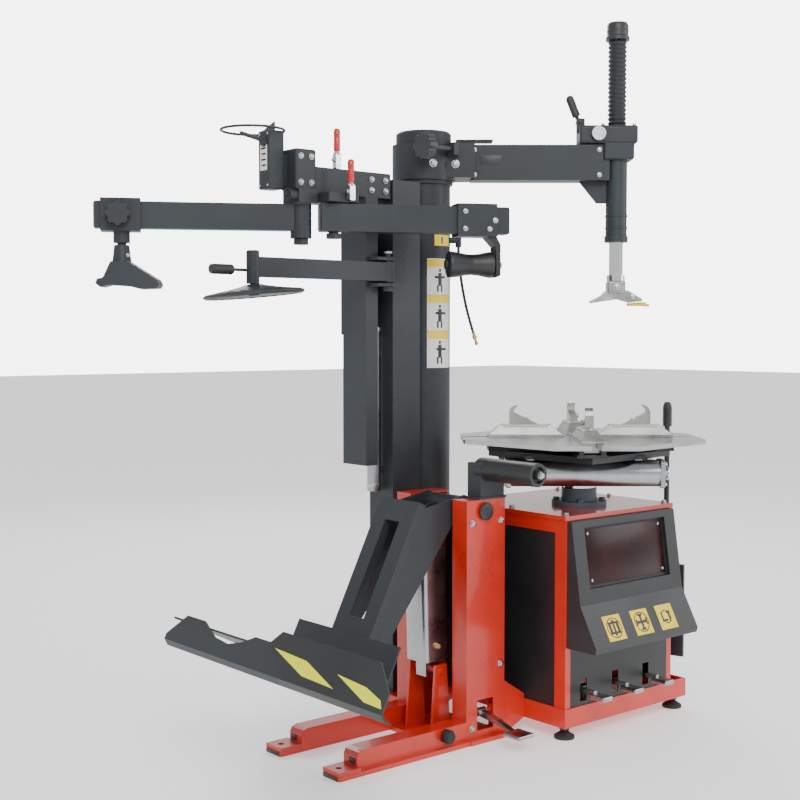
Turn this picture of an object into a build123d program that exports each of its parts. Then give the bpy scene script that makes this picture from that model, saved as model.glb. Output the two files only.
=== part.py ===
from build123d import *
import math
import os

# Swing-arm tyre changer with a pneumatic helper unit and a tilting wheel lift.
# Machine frame while building: turntable axis at X = Y = 0, floor at Z = 0,
# +X to the operator's right, +Y to the back. The whole machine is moved at the
# end so that its origin lies under the middle of its overall box.

# ---- cabinet ----
CABINET_WIDTH = 446.0
CABINET_FRONT = -157.0
CABINET_BACK = 297.0
BASE_BOTTOM = 34.0
BASE_TOP = 86.0
TOP_UNDERSIDE = 595.0
TOP_PLATE = 12.0
SHEET = 3.0
BASE_RIGHT = 290.0
PEDAL_X = (-150.0, -20.0, 110.0)
FOOT_DIAMETER = 55.0

# ---- turntable ----
TABLE_TOP = 800.0
TABLE_PLATE = 12.0
TABLE_CORNER_RADIUS = 354.0
TABLE_TURN = -40.0
JAW_WIDTH = 60.0
JAW_HEIGHT = 34.0
JAW_INNER = 50.0
JAW_OUTER = 262.0
JAW_TONGUE = 25.0
CYLINDER_DIAMETER = 77.0
CYLINDER_HALF = 207.0
CYLINDER_OFFSET = 100.0
CYLINDER_Z = TABLE_TOP - 94
NECK_DIAMETER = 100.0
CARRIER_LOW = TABLE_TOP - 55
CARRIER_MID = TABLE_TOP - 38
RAIL_LOW = TABLE_TOP - 30
SPINDLE_DIAMETER = 60.0

# ---- swing column and swing arm ----
COLUMN_X = -200.0
COLUMN_Y = 449.0
COLUMN_DIAMETER = 160.0
COLUMN_TOP = 1652.0
CAP_DIAMETER = 165.0
SLEEVE_BOTTOM = 1545.0
ARM_TURN = -40.0
ARM_BOTTOM = 1547.0
ARM_HEIGHT = 104.0
ARM_WIDTH = 80.0
ARM_REACH = 577.0
SHAFT_FLATS = 36.0
KNOB_PLACE = (14.0, -142.0)
KNOB_TURN = 40.0
KNOB_Z = 1632.0
BELLOWS_BOTTOM = 1712.0
BELLOWS_TOP = 1962.0

# ---- helper unit ----
MAST_LEFT = -495.0
MAST_RIGHT = -452.0
POST_LEFT = -397.0
POST_RIGHT = -295.0
POST_FRONT = 355.0
POST_BACK = 461.0
MAST_BOTTOM = 720.0
MAST_TOP = 1475.0
BEAM_TOP = 1545.0
FOOT_PIVOT = (-689.0, 395.0)
FOOT_TURN = 150.0
FOOT_REACH = 548.0
ROLLER_PIVOT = (-612.0, 350.0)
ROLLER_TURN = -27.0
ROLLER_REACH = 494.0
DISC_PIVOT = (-436.0, 330.0)
DISC_POST_X = -889.0
DISC_DIAMETER = 264.0
DISC_TILT = 5.0
PIN_DIAMETER = 28.0

# ---- wheel lift ----
LIFT_PIVOT_X = -380.0
LIFT_PIVOT_Z = 620.0
LIFT_ANGLE = 26.7
TRAY_FLOOR = -545.0
TRAY_INNER = 170.0
TRAY_LIP = 546.0
TRAY_SHEET = 5.0
TRAY_LOW = -605.0
TRAY_FRONT = -508.0
TRAY_SPLIT = -71.0
TRAY_BACK = 356.0
LEG_FRONT_Y = -8.0
LEG_REAR_Y = 279.0
LEG_END = -882.0
LEG_SHOE = 22.0
UPRIGHT_LEFT = -444.0
UPRIGHT_RIGHT = -304.0
UPRIGHT_DEPTH = 57.0
UPRIGHT_TOP = 651.0
ROD_PIN_RADIUS = 90.0
ROD_PIN_ANGLE = 191.0
BARREL_PIN = (-456.0, 182.5)

# ---- fits ----
RUNNING = 0.05
SLIDING = 0.3
GAP = 0.5

BASE_LEFT = -CABINET_WIDTH / 2 - 3
BASE_FRONT = CABINET_FRONT - 3
BASE_BACK = CABINET_BACK + 3
TOP_SURFACE = TOP_UNDERSIDE + TOP_PLATE
LIFT_MID_Y = (LEG_FRONT_Y + LEG_REAR_Y) / 2

nodes = {}


def box(x0, x1, y0, y1, z0, z1):
    """Plain block between two corners."""
    middle = Pos((x0 + x1) / 2, (y0 + y1) / 2, (z0 + z1) / 2)
    return middle * Box(x1 - x0, y1 - y0, z1 - z0)


def soft_box(x0, x1, y0, y1, z0, z1, radius):
    """Block with every edge rounded."""
    block = box(x0, x1, y0, y1, z0, z1)
    return fillet(block.edges(), radius)


def rod(start, end, radius):
    """Round bar between two points."""
    a = Vector(*start)
    b = Vector(*end)
    return Solid.make_cylinder(radius, (b - a).length, Plane(origin=a, z_dir=(b - a)))


def post(x, y, z0, z1, radius):
    """Upright round bar."""
    return rod((x, y, z0), (x, y, z1), radius)


def sleeve(x, y, z0, z1, outer, inner):
    """Upright round tube."""
    return post(x, y, z0, z1, outer) - post(x, y, z0 - 1, z1 + 1, inner)


def hexagon(x, y, z0, z1, flats):
    """Upright hexagonal bar of a given width across its flats."""
    corners = []
    for k in range(6):
        angle = math.radians(60 * k)
        reach = flats / 2 / math.cos(math.radians(30))
        corners.append((x + reach * math.cos(angle), y + reach * math.sin(angle), z0))
    return prism(corners, (0, 0, z1 - z0))


def prism(points, direction):
    """Flat outline pushed along a vector."""
    outline = Wire.make_polygon([Vector(*p) for p in points], close=True)
    return Solid.extrude(Face(outline), Vector(*direction))


def side_prism(points, x0, x1):
    """Outline given as (Y, Z) points, pushed along X."""
    return prism([(x0, y, z) for y, z in points], (x1 - x0, 0, 0))


def long_prism(points, y0, y1):
    """Outline given as (X, Z) points, pushed along Y."""
    return prism([(x, y0, z) for x, z in points], (0, y1 - y0, 0))


def square_tube(x0, x1, half_width, z0, z1, wall):
    """Box tube along X, centred on Y = 0, open at both ends."""
    outer = box(x0, x1, -half_width, half_width, z0, z1)
    bore = box(x0 - 1, x1 + 1, -half_width + wall, half_width - wall, z0 + wall, z1 - wall)
    return outer - bore


def turned(profile, x, y, turn=360):
    """Ring or shaft from an outline of (radius, Z) points, turned about an upright axis."""
    outline = Wire.make_polygon([Vector(x + r, y, z) for r, z in profile], close=True)
    axis = Axis((x, y, 0), (0, 0, 1))
    return revolve(Face(outline), axis, turn)


def lobed_knob(radius, thickness, lobes):
    """Star knob about Z, resting on Z = 0."""
    knob = Solid.make_cylinder(radius, thickness)
    for k in range(lobes):
        angle = 2 * math.pi * (k + 0.5) / lobes
        x = (radius + 3) * math.cos(angle)
        y = (radius + 3) * math.sin(angle)
        knob = knob - post(x, y, -1, thickness + 1, radius * 0.24)
    return knob


def place(shape, x, y, turn):
    """Move a shape from its own upright axis to a pivot and turn it."""
    return Pos(x, y, 0) * Rot(0, 0, turn) * shape


def add(name, *shapes):
    """Keep the solids of one sub-part under its name."""
    solids = []
    for shape in shapes:
        solids.extend(shape.solids())
    nodes[name] = Compound(solids)


# ---------------------------------------------------------------- cabinet

def cabinet_frame():
    """Welded sheet frame: base tray, corner posts, top ring and vented back."""
    base = box(BASE_LEFT, BASE_RIGHT, BASE_FRONT, BASE_BACK, BASE_BOTTOM, BASE_TOP)
    base = base - box(BASE_LEFT + 6, BASE_RIGHT - 6, BASE_FRONT + 6, BASE_BACK - 6,
                      BASE_BOTTOM + 6, BASE_TOP + 1)
    half = CABINET_WIDTH / 2
    frame = base
    for side in (-1, 1):
        outer = side * half
        inner = side * (half - 4)
        lap = side * (half - 20)
        for face, depth in ((CABINET_FRONT, 1), (CABINET_BACK, -1)):
            long_leg = box(min(outer, inner), max(outer, inner),
                           min(face, face + depth * 40), max(face, face + depth * 40),
                           BASE_BOTTOM + 6, TOP_UNDERSIDE)
            short_leg = box(min(outer, lap), max(outer, lap),
                            min(face, face + depth * 4), max(face, face + depth * 4),
                            BASE_BOTTOM + 6, TOP_UNDERSIDE)
            frame = frame + long_leg + short_leg
    ring = box(-half, half, CABINET_FRONT, CABINET_BACK, 560, TOP_UNDERSIDE)
    ring = ring - box(-half + 4, half - 4, CABINET_FRONT + 4, CABINET_BACK - 4, 559, TOP_UNDERSIDE + 1)
    back = box(-half + 20, half - 20, CABINET_BACK - SHEET, CABINET_BACK, BASE_TOP - 20, 560)
    for k in range(6):
        z = 380 + 24 * k
        back = back - box(-90, 90, CABINET_BACK - 10, CABINET_BACK + 10, z, z + 8)
    frame = frame + ring + back
    hinge_x = 290
    for z in (296, 386):
        frame = frame + box(half - 10, hinge_x + 24, CABINET_BACK, CABINET_BACK + 48, z, z + 9)
    frame = frame + box(half - 10, half + 6, CABINET_BACK, CABINET_BACK + 48, 280, 412)
    frame = frame + post(hinge_x, CABINET_BACK + 24, 290, 402, 12)
    add("cabinet_frame", frame)


def top_plate():
    """Thick red lid that carries the gearbox and the turntable."""
    plate = box(BASE_LEFT, -BASE_LEFT, BASE_FRONT, BASE_BACK, TOP_UNDERSIDE, TOP_SURFACE)
    plate = fillet(plate.edges().filter_by(Axis.Z), 5)
    plate = plate - post(0, 0, TOP_UNDERSIDE - 1, TOP_SURFACE + 1, NECK_DIAMETER / 2 + GAP)
    add("top_plate", plate)


def side_panels():
    """Thin sheets that close the cabinet's sides and the gap between the lift's uprights."""
    inside = CABINET_WIDTH / 2 - 4
    sheets = []
    for side in (-1, 1):
        x0 = min(side * inside, side * (inside + 2))
        sheet = box(x0, x0 + 2, CABINET_FRONT + 40, CABINET_BACK - 40, BASE_TOP, 560)
        if side > 0:
            sheet = sheet - rod((x0 - 5, 205, 300), (x0 + 7, 205, 300), 22)
        sheets.append(sheet)
    lift_sheet = box(UPRIGHT_RIGHT - 8, UPRIGHT_RIGHT - 5, LEG_FRONT_Y + UPRIGHT_DEPTH,
                     LEG_REAR_Y - UPRIGHT_DEPTH, 90, 600)
    add("side_panels", sheets[0], sheets[1], lift_sheet)


def cover_face(z):
    """Y of the front cover's sloping upper face at a height."""
    return -172 - 33 * (593 - z) / 221


def front_cover():
    """Moulded cover: sloping window recess above, flared apron for the pictograms below."""
    outer = side_prism([(-157.5, 593), (-172, 593), (-205, 372), (-262, 266), (-258, 252), (-157.5, 252)],
                       -218, 210)
    pocket = side_prism([(cover_face(574) - 8, 574), (cover_face(574) + 12, 574),
                         (cover_face(412) + 12, 412), (cover_face(412) - 8, 412)], -172, 164)
    backing = side_prism([(cover_face(577) - 9, 577), (cover_face(577) + 15, 577),
                          (cover_face(409) + 15, 409), (cover_face(409) - 9, 409)], -175, 167)
    inner = side_prism([(-150, 590), (-169.5, 590), (-202, 373), (-258, 268), (-255, 255), (-150, 255)],
                       -215, 207)
    add("front_cover", outer - pocket - (inner - backing))


def pedal_panel():
    """Black sheet with a slot for each pedal, and the pin that the pedals turn on."""
    panel = box(-203, 203, CABINET_FRONT, CABINET_FRONT + SHEET, BASE_TOP, 251)
    for x in PEDAL_X:
        panel = panel - box(x - 13, x + 13, CABINET_FRONT - 5, CABINET_FRONT + 8, 98, 160)
    pin = rod((-186, -120, 128), (146, -120, 128), 4)
    ears = []
    for x in (-190, 146):
        ears.append(box(x, x + 4, CABINET_FRONT + SHEET, -110, 116, 140))
    add("pedal_panel", panel + ears[0] + ears[1] + pin)


def leveling_feet():
    """Rubber feet on threaded stems with lock nuts."""
    pads = []
    for x, y in ((-198, -132), (262, -132), (-198, 272), (262, 272), (-330, 505)):
        pad = turned([(0, 0), (FOOT_DIAMETER / 2, 0), (FOOT_DIAMETER / 2, 8), (12, 18), (0, 18)], x, y)
        stem = post(x, y, 18, BASE_BOTTOM, 8)
        nut = hexagon(x, y, 22, 32, 24)
        pads.append(pad + stem + nut)
    add("leveling_feet", *pads)


def drive_motor():
    """Motor with its foot plate and small pulley, upright in the cabinet."""
    x, y = -120, 20
    body = post(x, y, 190, 400, 68) + post(x, y, 400, 414, 60)
    for k in range(12):
        body = body + place(box(60, 74, -2, 2, 205, 385), x, y, 30 * k)
    shaft = post(x, y, 150, 190, 12) + post(x, y, 150, 172, 34)
    base = box(x - 80, x + 60, y - 80, y + 60, 182, 190)
    strap = box(-CABINET_WIDTH / 2 + 4, x + 60, y - 80, y + 60, 176, 182)
    add("drive_motor", body + shaft + base + strap)


def gearbox():
    """Worm gearbox hung from the top plate, with the neck that the spindle turns in."""
    case = soft_box(-78, 78, -90, 90, 430, 585, 10)
    neck = post(0, 0, 585, TABLE_TOP - 145, NECK_DIAMETER / 2)
    flange = post(0, 0, TOP_SURFACE, TOP_SURFACE + 12, 78)
    plate = box(-95, 95, -95, 95, 585, TOP_UNDERSIDE)
    pulley = post(0, 0, 150, 172, 84) + post(0, 0, 172, 430, 14)
    bore = post(0, 0, 560, TABLE_TOP - 100, SPINDLE_DIAMETER / 2 + RUNNING)
    bolts = []
    for k in range(4):
        a = math.radians(45 + 90 * k)
        bolts.append(hexagon(65 * math.cos(a), 65 * math.sin(a), TOP_SURFACE + 12, TOP_SURFACE + 20, 16))
    body = case + neck + flange + plate - bore
    for bolt in bolts:
        body = body + bolt
    add("gearbox", body, pulley)


def bead_cylinder():
    """Large air cylinder inside the cabinet that drives the bead breaker arm."""
    y, z = 205, 300
    barrel = rod((-150, y, z), (170, y, z), 78)
    heads = rod((-164, y, z), (-150, y, z), 86) + rod((170, y, z), (184, y, z), 86)
    piston_rod = rod((184, y, z), (240, y, z), 12)
    clevis = soft_box(240, 268, y - 18, y + 18, z - 18, z + 18, 4)
    mount = box(-170, 190, y + 60, CABINET_BACK - SHEET, z - 110, z - 60)
    mount = mount - rod((-171, y, z), (191, y, z), 86)
    add("bead_cylinder", barrel + heads + piston_rod + clevis + mount)


def bead_arm():
    """Bead breaker: hinged bar, curved blade and upright handle."""
    hinge_x, hinge_y = 290, CABINET_BACK + 24
    knuckle = sleeve(hinge_x, hinge_y, 306, 385, 26, 12 + RUNNING)
    turn = math.degrees(math.atan2(-380, 62))
    bar = place(square_tube(22, 392, 24, 316, 376, 6), hinge_x, hinge_y, turn)
    tip_x, tip_y = 352, -60
    blade = turned([(250, 150), (262, 150), (262, 420), (250, 420)], 520, -60, 44)
    blade = Pos(520, -60, 0) * Rot(0, 0, 158) * Pos(-520, 60, 0) * blade
    carrier = box(266, tip_x, tip_y - 22, tip_y + 22, 322, 370)
    handle_x, handle_y = 386, -7
    bracket = box(350, handle_x + 12, handle_y - 12, handle_y + 12, 352, 370)
    handle = post(handle_x, handle_y, 370, 883, 8)
    grip = post(handle_x, handle_y, 812, 876, 12.5) + Solid.make_cone(
        12.5, 8, 10, Plane(origin=(handle_x, handle_y, 876)))
    add("bead_arm", knuckle + bar + carrier + bracket + handle + grip + blade)


def pedals():
    """Three foot pedals with rounded tips, each on the common pin."""
    for number, x in enumerate(PEDAL_X, start=1):
        hub = rod((x - 12, -120, 128), (x + 12, -120, 128), 11)
        lever = box(x - 6, x + 6, -200, -120, 121, 133)
        pad = soft_box(x - 19, x + 19, -246, -190, 113, 127, 5)
        bore = rod((x - 30, -120, 128), (x + 30, -120, 128), 4 + RUNNING)
        add("pedal_" + str(number), hub + lever + pad - bore)


# -------------------------------------------------------------- turntable

def spindle():
    """Drive spindle from the gearbox to the table."""
    shaft = post(0, 0, 562, TABLE_TOP - 55, SPINDLE_DIAMETER / 2)
    collar = post(0, 0, TABLE_TOP - 144, TABLE_TOP - 128, 46)
    add("spindle", shaft + collar)


def table_slot(turn, width, inner, outer, z0, z1):
    return place(box(inner, outer, -width / 2, width / 2, z0, z1), 0, 0, turn)


def table_plate():
    """Octagonal steel table with four radial slots that the jaws run in."""
    corners = []
    for k in range(8):
        angle = math.radians(TABLE_TURN + 18.5 + 90 * (k // 2) + (53 if k % 2 else 0))
        corners.append((TABLE_CORNER_RADIUS * math.cos(angle),
                        TABLE_CORNER_RADIUS * math.sin(angle), TABLE_TOP - TABLE_PLATE))
    plate = prism(corners, (0, 0, TABLE_PLATE))
    plate = fillet(plate.edges().filter_by(Axis.Z), 18)
    for k in range(4):
        plate = plate - table_slot(TABLE_TURN + 90 * k, JAW_TONGUE + 2 * SLIDING, 40, 400,
                                   TABLE_TOP - TABLE_PLATE - 1, TABLE_TOP + 1)
    plate = plate - post(0, 0, TABLE_TOP - 20, TABLE_TOP + 1, 16)
    add("table_plate", plate)


def carrier():
    """Cross arms, guide rails and square pan under the table."""
    table_underside = TABLE_TOP - TABLE_PLATE
    body = box(-183, 183, -183, 183, CARRIER_LOW, CARRIER_MID) - box(-175, 175, -175, 175, CARRIER_LOW - 1, CARRIER_LOW + 9)
    body = Rot(0, 0, TABLE_TURN + 45) * body
    for k in range(4):
        turn = TABLE_TURN + 90 * k
        body = body + place(box(0, 262, -42, 42, CARRIER_MID, RAIL_LOW), 0, 0, turn)
        for side in (-1, 1):
            inner = 22.5
            rail = box(40, 262, min(side * inner, side * 36), max(side * inner, side * 36),
                       RAIL_LOW, table_underside)
            body = body + place(rail, 0, 0, turn)
    body = body + post(0, 0, CARRIER_LOW, RAIL_LOW, 70)
    body = body + sleeve(0, 0, RAIL_LOW, table_underside, 39, 17)
    for side in (-1, 1):
        for reach in (-150, 150):
            lug = box(reach - 16, reach + 16, side * CYLINDER_OFFSET - 14, side * CYLINDER_OFFSET + 14, CARRIER_LOW,
                      CARRIER_LOW + 11)
            body = body + Rot(0, 0, TABLE_TURN) * lug
    add("carrier", body)


def clamp_cylinders():
    """Two parallel air cylinders that open and close the jaws."""
    pair = []
    for side in (-1, 1):
        y = side * CYLINDER_OFFSET
        radius = CYLINDER_DIAMETER / 2
        body = rod((-CYLINDER_HALF, y, CYLINDER_Z), (CYLINDER_HALF, y, CYLINDER_Z), radius - 4)
        for end in (-1, 1):
            a = end * CYLINDER_HALF
            cap = box(min(a, a + end * 12), max(a, a + end * 12), y - radius, y + radius,
                      CYLINDER_Z - radius, CYLINDER_Z + radius)
            cap = fillet(cap.edges().filter_by(Axis.X), 10)
            body = body + cap
            body = body + rod((a + end * 12, y, CYLINDER_Z), (a + end * 24, y, CYLINDER_Z), 13)
        body = body + rod((-CYLINDER_HALF, y, CYLINDER_Z), (CYLINDER_HALF, y, CYLINDER_Z), radius - 1.5)
        for reach in (-150, 150):
            body = body + box(reach - 10, reach + 10, y - 9, y + 9, CYLINDER_Z + 25, CARRIER_LOW)
        pair.append(Rot(0, 0, TABLE_TURN) * body)
    add("clamp_cylinders", *pair)


def jaws():
    """Four sliding jaws: bevelled slide with a hooked claw, tongue and guide block below."""
    half = JAW_WIDTH / 2
    z0 = TABLE_TOP + SLIDING
    z1 = TABLE_TOP + JAW_HEIGHT
    for number in range(4):
        section = [(JAW_INNER, z0), (JAW_OUTER, z0), (JAW_OUTER, z0 + 5), (JAW_OUTER - 34, z1),
                   (JAW_INNER + 34, z1), (JAW_INNER, z0 + 5)]
        slide = long_prism(section, -half, half)
        for side in (-1, 1):
            shave = prism([(JAW_INNER - 5, side * (half + 1), z0 + 6), (JAW_INNER - 5, side * (half + 1), z1 + 1),
                           (JAW_INNER - 5, side * (half - 14), z1 + 1)], (JAW_OUTER - JAW_INNER + 10, 0, 0))
            slide = slide - shave
        tongue = box(70, 240, -JAW_TONGUE / 2, JAW_TONGUE / 2, TABLE_TOP - 20, z0 + 1)
        guide = box(70, 240, -22, 22, TABLE_TOP - 26, TABLE_TOP - TABLE_PLATE - GAP)
        claw = long_prism([(112, z1 - 1), (200, z1 - 1), (200, z1 + 38), (194, z1 + 50), (180, z1 + 58), (178, z1 + 53),
                           (188, z1 + 44), (188, z1 + 36)], -11, 11)
        jaw = slide + tongue + guide + claw
        add("jaw_" + str(number + 1), Rot(0, 0, TABLE_TURN + 90 * number) * jaw)


# --------------------------------------------------- column and swing arm

def column_base():
    """Floor plate behind the cabinet that carries the column and the guide post."""
    plate = box(-420, -96, BASE_BACK, 552, BASE_BOTTOM, 56)
    flange = sleeve(COLUMN_X, COLUMN_Y, 56, 74, 94, COLUMN_DIAMETER / 2 + RUNNING)
    brace = box(-275, -125, CABINET_BACK, 400, 470, 540)
    brace = brace - post(COLUMN_X, COLUMN_Y, 469, 541, COLUMN_DIAMETER / 2 + RUNNING)
    ribs = []
    for turn in (0, 90, 270):
        rib = prism([(80.5, -4, 74), (114, -4, 74), (80.5, -4, 190)], (0, 8, 0))
        ribs.append(place(rib, COLUMN_X, COLUMN_Y, turn))
    add("column_base", plate + flange, brace, *ribs)


def column():
    """Swing column: heavy round tube with a cap and the seat that the arm's sleeve rests on."""
    radius = COLUMN_DIAMETER / 2
    tube = sleeve(COLUMN_X, COLUMN_Y, 56, COLUMN_TOP, radius, radius - 8)
    cap = turned([(0, COLUMN_TOP - 20), (radius - 7.5, COLUMN_TOP - 20), (radius - 7.5, COLUMN_TOP),
                  (CAP_DIAMETER / 2, COLUMN_TOP), (CAP_DIAMETER / 2, COLUMN_TOP + 32),
                  (CAP_DIAMETER / 2 - 6, COLUMN_TOP + 38), (0, COLUMN_TOP + 38)], COLUMN_X, COLUMN_Y)
    seat = sleeve(COLUMN_X, COLUMN_Y, 1534, SLEEVE_BOTTOM - GAP, 87, radius - 1)
    hose_x, hose_y, hose_z = HOSE_POINTS[0]
    fitting_x = COLUMN_X + 62 * math.cos(math.radians(ARM_TURN))
    fitting_y = COLUMN_Y + 62 * math.sin(math.radians(ARM_TURN))
    elbow = rod((fitting_x, fitting_y, hose_z + 20), (hose_x, hose_y, hose_z + 20), 9)
    elbow = elbow + post(hose_x, hose_y, hose_z, hose_z + 29, 9)
    coil_x, coil_y = COIL_TOP[0], COIL_TOP[1]
    bracket = box(coil_x - 9, coil_x + 9, COLUMN_Y + 60, coil_y + 10, COIL_TOP[2], COIL_TOP[2] + 12)
    lower = box(coil_x - 9, coil_x + 9, COLUMN_Y + 60, coil_y + 10, COIL_BOTTOM - 12, COIL_BOTTOM)
    add("column", tube + cap + seat + elbow + bracket + lower)


def swing_arm():
    """Sleeve on the column, hinge cheeks and the long box arm."""
    radius = COLUMN_DIAMETER / 2
    half = ARM_WIDTH / 2
    arm_top = ARM_BOTTOM + ARM_HEIGHT
    hub = post(0, 0, SLEEVE_BOTTOM, COLUMN_TOP - GAP, 93)
    cheeks = prism([(0, -64, 1552), (150, -64, 1552), (150, -64, arm_top), (0, -64, arm_top)], (0, 128, 0))
    web = long_prism([(0, SLEEVE_BOTTOM), (70, SLEEVE_BOTTOM), (140, ARM_BOTTOM + 20), (0, ARM_BOTTOM + 20)],
                     -60, 60)
    arm = square_tube(140, ARM_REACH - 46, half, ARM_BOTTOM, arm_top, 6)
    flap = box(96, 205, -34, 22, 1662, 1667) + box(96, 110, -34, 22, arm_top - 2, 1664)
    stop_lug = box(84, 104, -15, 34, 1614, 1650)
    stop_lug = stop_lug - rod((80, 0, KNOB_Z), (110, 0, KNOB_Z), 7 + RUNNING)
    stop_lug = place(stop_lug, *KNOB_PLACE, KNOB_TURN)
    gusset = long_prism([(ARM_REACH - 114, ARM_BOTTOM + 1), (ARM_REACH - 46, ARM_BOTTOM + 1),
                         (ARM_REACH - 46, 1482), (ARM_REACH - 60, 1482)], -6, 6)
    bore = post(0, 0, SLEEVE_BOTTOM - 5, COLUMN_TOP + 5, radius + RUNNING)
    body = hub + cheeks + web + arm + gusset - bore + stop_lug + flap
    add("swing_arm", place(body, COLUMN_X, COLUMN_Y, ARM_TURN))


def lock_housing():
    """Head at the arm's end: guide tube for the tool shaft and the locking cylinder above it."""
    x = ARM_REACH
    guide = post(x, 0, 1384, 1712, 31.5) + post(x, 0, 1366, 1384, 35)
    head = soft_box(x - 116, x + 56, -48, 48, 1655, 1708, 8)
    lower = soft_box(x - 44, x + 46, -44, 44, 1608, 1660, 6)
    cylinder = rod((x - 62, -58, 1682), (x - 62, 58, 1682), 22)
    neck = box(x - 46, x - 26, -34, 34, ARM_BOTTOM, 1656) + box(x - 46, x - 28, -6, 6, 1482, 1560)
    lever_ear = box(x - 122, x - 98, -16, -4, 1690, 1732)
    body = guide + head + lower + cylinder + neck + lever_ear
    body = body - hexagon(x, 0, 1300, 1800, SHAFT_FLATS + 2 * SLIDING)
    body = body - rod((x - 112, -30, 1722), (x - 112, 10, 1722), 4 + RUNNING)
    add("lock_housing", place(body, COLUMN_X, COLUMN_Y, ARM_TURN))


def lock_lever():
    """Hand lever that releases the tool shaft."""
    x = ARM_REACH - 112
    hub = rod((x, -3.5, 1722), (x, 8, 1722), 11)
    pin = rod((x, -22, 1722), (x, -3.5, 1722), 4)
    stem = rod((x, 3, 1722), (x - 10, 3, 1744), 6)
    grip = rod((x - 8, 3, 1740), (x - 28, 3, 1790), 12)
    grip = grip + Solid.make_sphere(12).moved(Location((x - 28, 3, 1790)))
    add("lock_lever", place(hub + pin + stem + grip, COLUMN_X, COLUMN_Y, ARM_TURN))


def stop_knob():
    """Star knob with the threaded stop bolt of the swing arm."""
    bolt = rod((-2, 0, KNOB_Z), (108, 0, KNOB_Z), 7)
    knob = Pos(0, 0, KNOB_Z) * Rot(0, -90, 0) * lobed_knob(38, 28, 8)
    boss = rod((-2, 0, KNOB_Z), (16, 0, KNOB_Z), 16)
    screw = place(bolt + knob + boss, *KNOB_PLACE, KNOB_TURN)
    add("stop_knob", place(screw, COLUMN_X, COLUMN_Y, ARM_TURN))


def tool_shaft():
    """Hexagonal tool shaft, its top cap and the clamp collar of the tool head."""
    x = ARM_REACH
    shaft = hexagon(x, 0, 1236, BELLOWS_TOP + 30, SHAFT_FLATS)
    cap = turned([(0, BELLOWS_TOP + 1), (35, BELLOWS_TOP + 1), (35, BELLOWS_TOP + 10), (31, BELLOWS_TOP + 14),
                  (31, BELLOWS_TOP + 44), (27, BELLOWS_TOP + 52), (0, BELLOWS_TOP + 52)], x, 0)
    collar = post(x, 0, 1250, 1268, 27)
    add("tool_shaft", place(shaft + cap + collar, COLUMN_X, COLUMN_Y, ARM_TURN))


def mount_head():
    """Duck-shaped mounting head: clamp block, flared body, hooked beak and bobbin."""
    x = ARM_REACH
    block = soft_box(x - 26, x + 26, -26, 26, 1212, 1249.5, 4)
    body = long_prism([(x - 30, 1222), (x + 34, 1222), (x + 74, 1198), (x + 78, 1190), (x + 40, 1186),
                       (x + 6, 1196), (x - 34, 1190), (x - 74, 1184), (x - 78, 1190), (x - 46, 1206)], -24, 24)
    body = fillet(body.edges().filter_by(Axis.Y), 3)
    block = block - hexagon(x, 0, 1235, 1260, SHAFT_FLATS + 0.1)
    add("mount_head", place(block + body, COLUMN_X, COLUMN_Y, ARM_TURN))


def head_insert():
    """Replaceable plastic insert clipped under the head's beak."""
    x = ARM_REACH
    strip = long_prism([(x + 36, 1184.5), (x + 80, 1188), (x + 100, 1180), (x + 98, 1174), (x + 70, 1176),
                        (x + 36, 1176)], -15, 15)
    add("head_insert", place(strip, COLUMN_X, COLUMN_Y, ARM_TURN))


def shaft_bellows():
    """Folded rubber sleeve around the shaft between the housing and the cap."""
    folds = 19
    pitch = (BELLOWS_TOP - BELLOWS_BOTTOM) / folds
    outline = [(22, BELLOWS_BOTTOM + GAP)]
    for k in range(folds):
        z = BELLOWS_BOTTOM + GAP + k * pitch
        outline.append((24, z + 0.1))
        outline.append((28, z + pitch * 0.5))
    outline.append((24, BELLOWS_TOP - GAP))
    outline.append((22, BELLOWS_TOP - GAP))
    add("shaft_bellows", place(turned(outline, ARM_REACH, 0), COLUMN_X, COLUMN_Y, ARM_TURN))


# ------------------------------------------------------------ helper unit

def guide_post():
    """Fixed box post beside the column that the helper mast runs on."""
    outer = box(POST_LEFT, POST_RIGHT, POST_FRONT, POST_BACK, 56, 1530)
    bore = box(POST_LEFT + 6, POST_RIGHT - 6, POST_FRONT + 6, POST_BACK - 6, 62, 1524)
    ties = []
    for z in (640, 1390):
        tie = box(POST_RIGHT, -235, 400, POST_BACK, z, z + 70)
        ties.append(tie - post(COLUMN_X, COLUMN_Y, z - 1, z + 71, COLUMN_DIAMETER / 2 + RUNNING))
    body = outer - bore + ties[0] + ties[1]
    add("guide_post", body)


def helper_cylinder():
    """Air cylinder that lifts the helper mast."""
    x, y = (MAST_RIGHT + POST_LEFT) / 2 + 0.5, 408
    barrel = post(x, y, 640, 1108, 20) - post(x, y, 652, 1109, 15)
    gland = sleeve(x, y, 1096, 1108, 15, 8 + RUNNING)
    clips = []
    for z in (690, 1070):
        clips.append(box(x + 18, POST_LEFT, y - 9, y + 9, z, z + 14))
    add("helper_cylinder", barrel + gland + clips[0] + clips[1])


def helper_rod():
    """Rod and piston of the mast cylinder."""
    x, y = (MAST_RIGHT + POST_LEFT) / 2 + 0.5, 408
    add("helper_rod", post(x, y, 1040, MAST_TOP, 8) + post(x, y, 1028, 1046, 15 - RUNNING))


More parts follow.
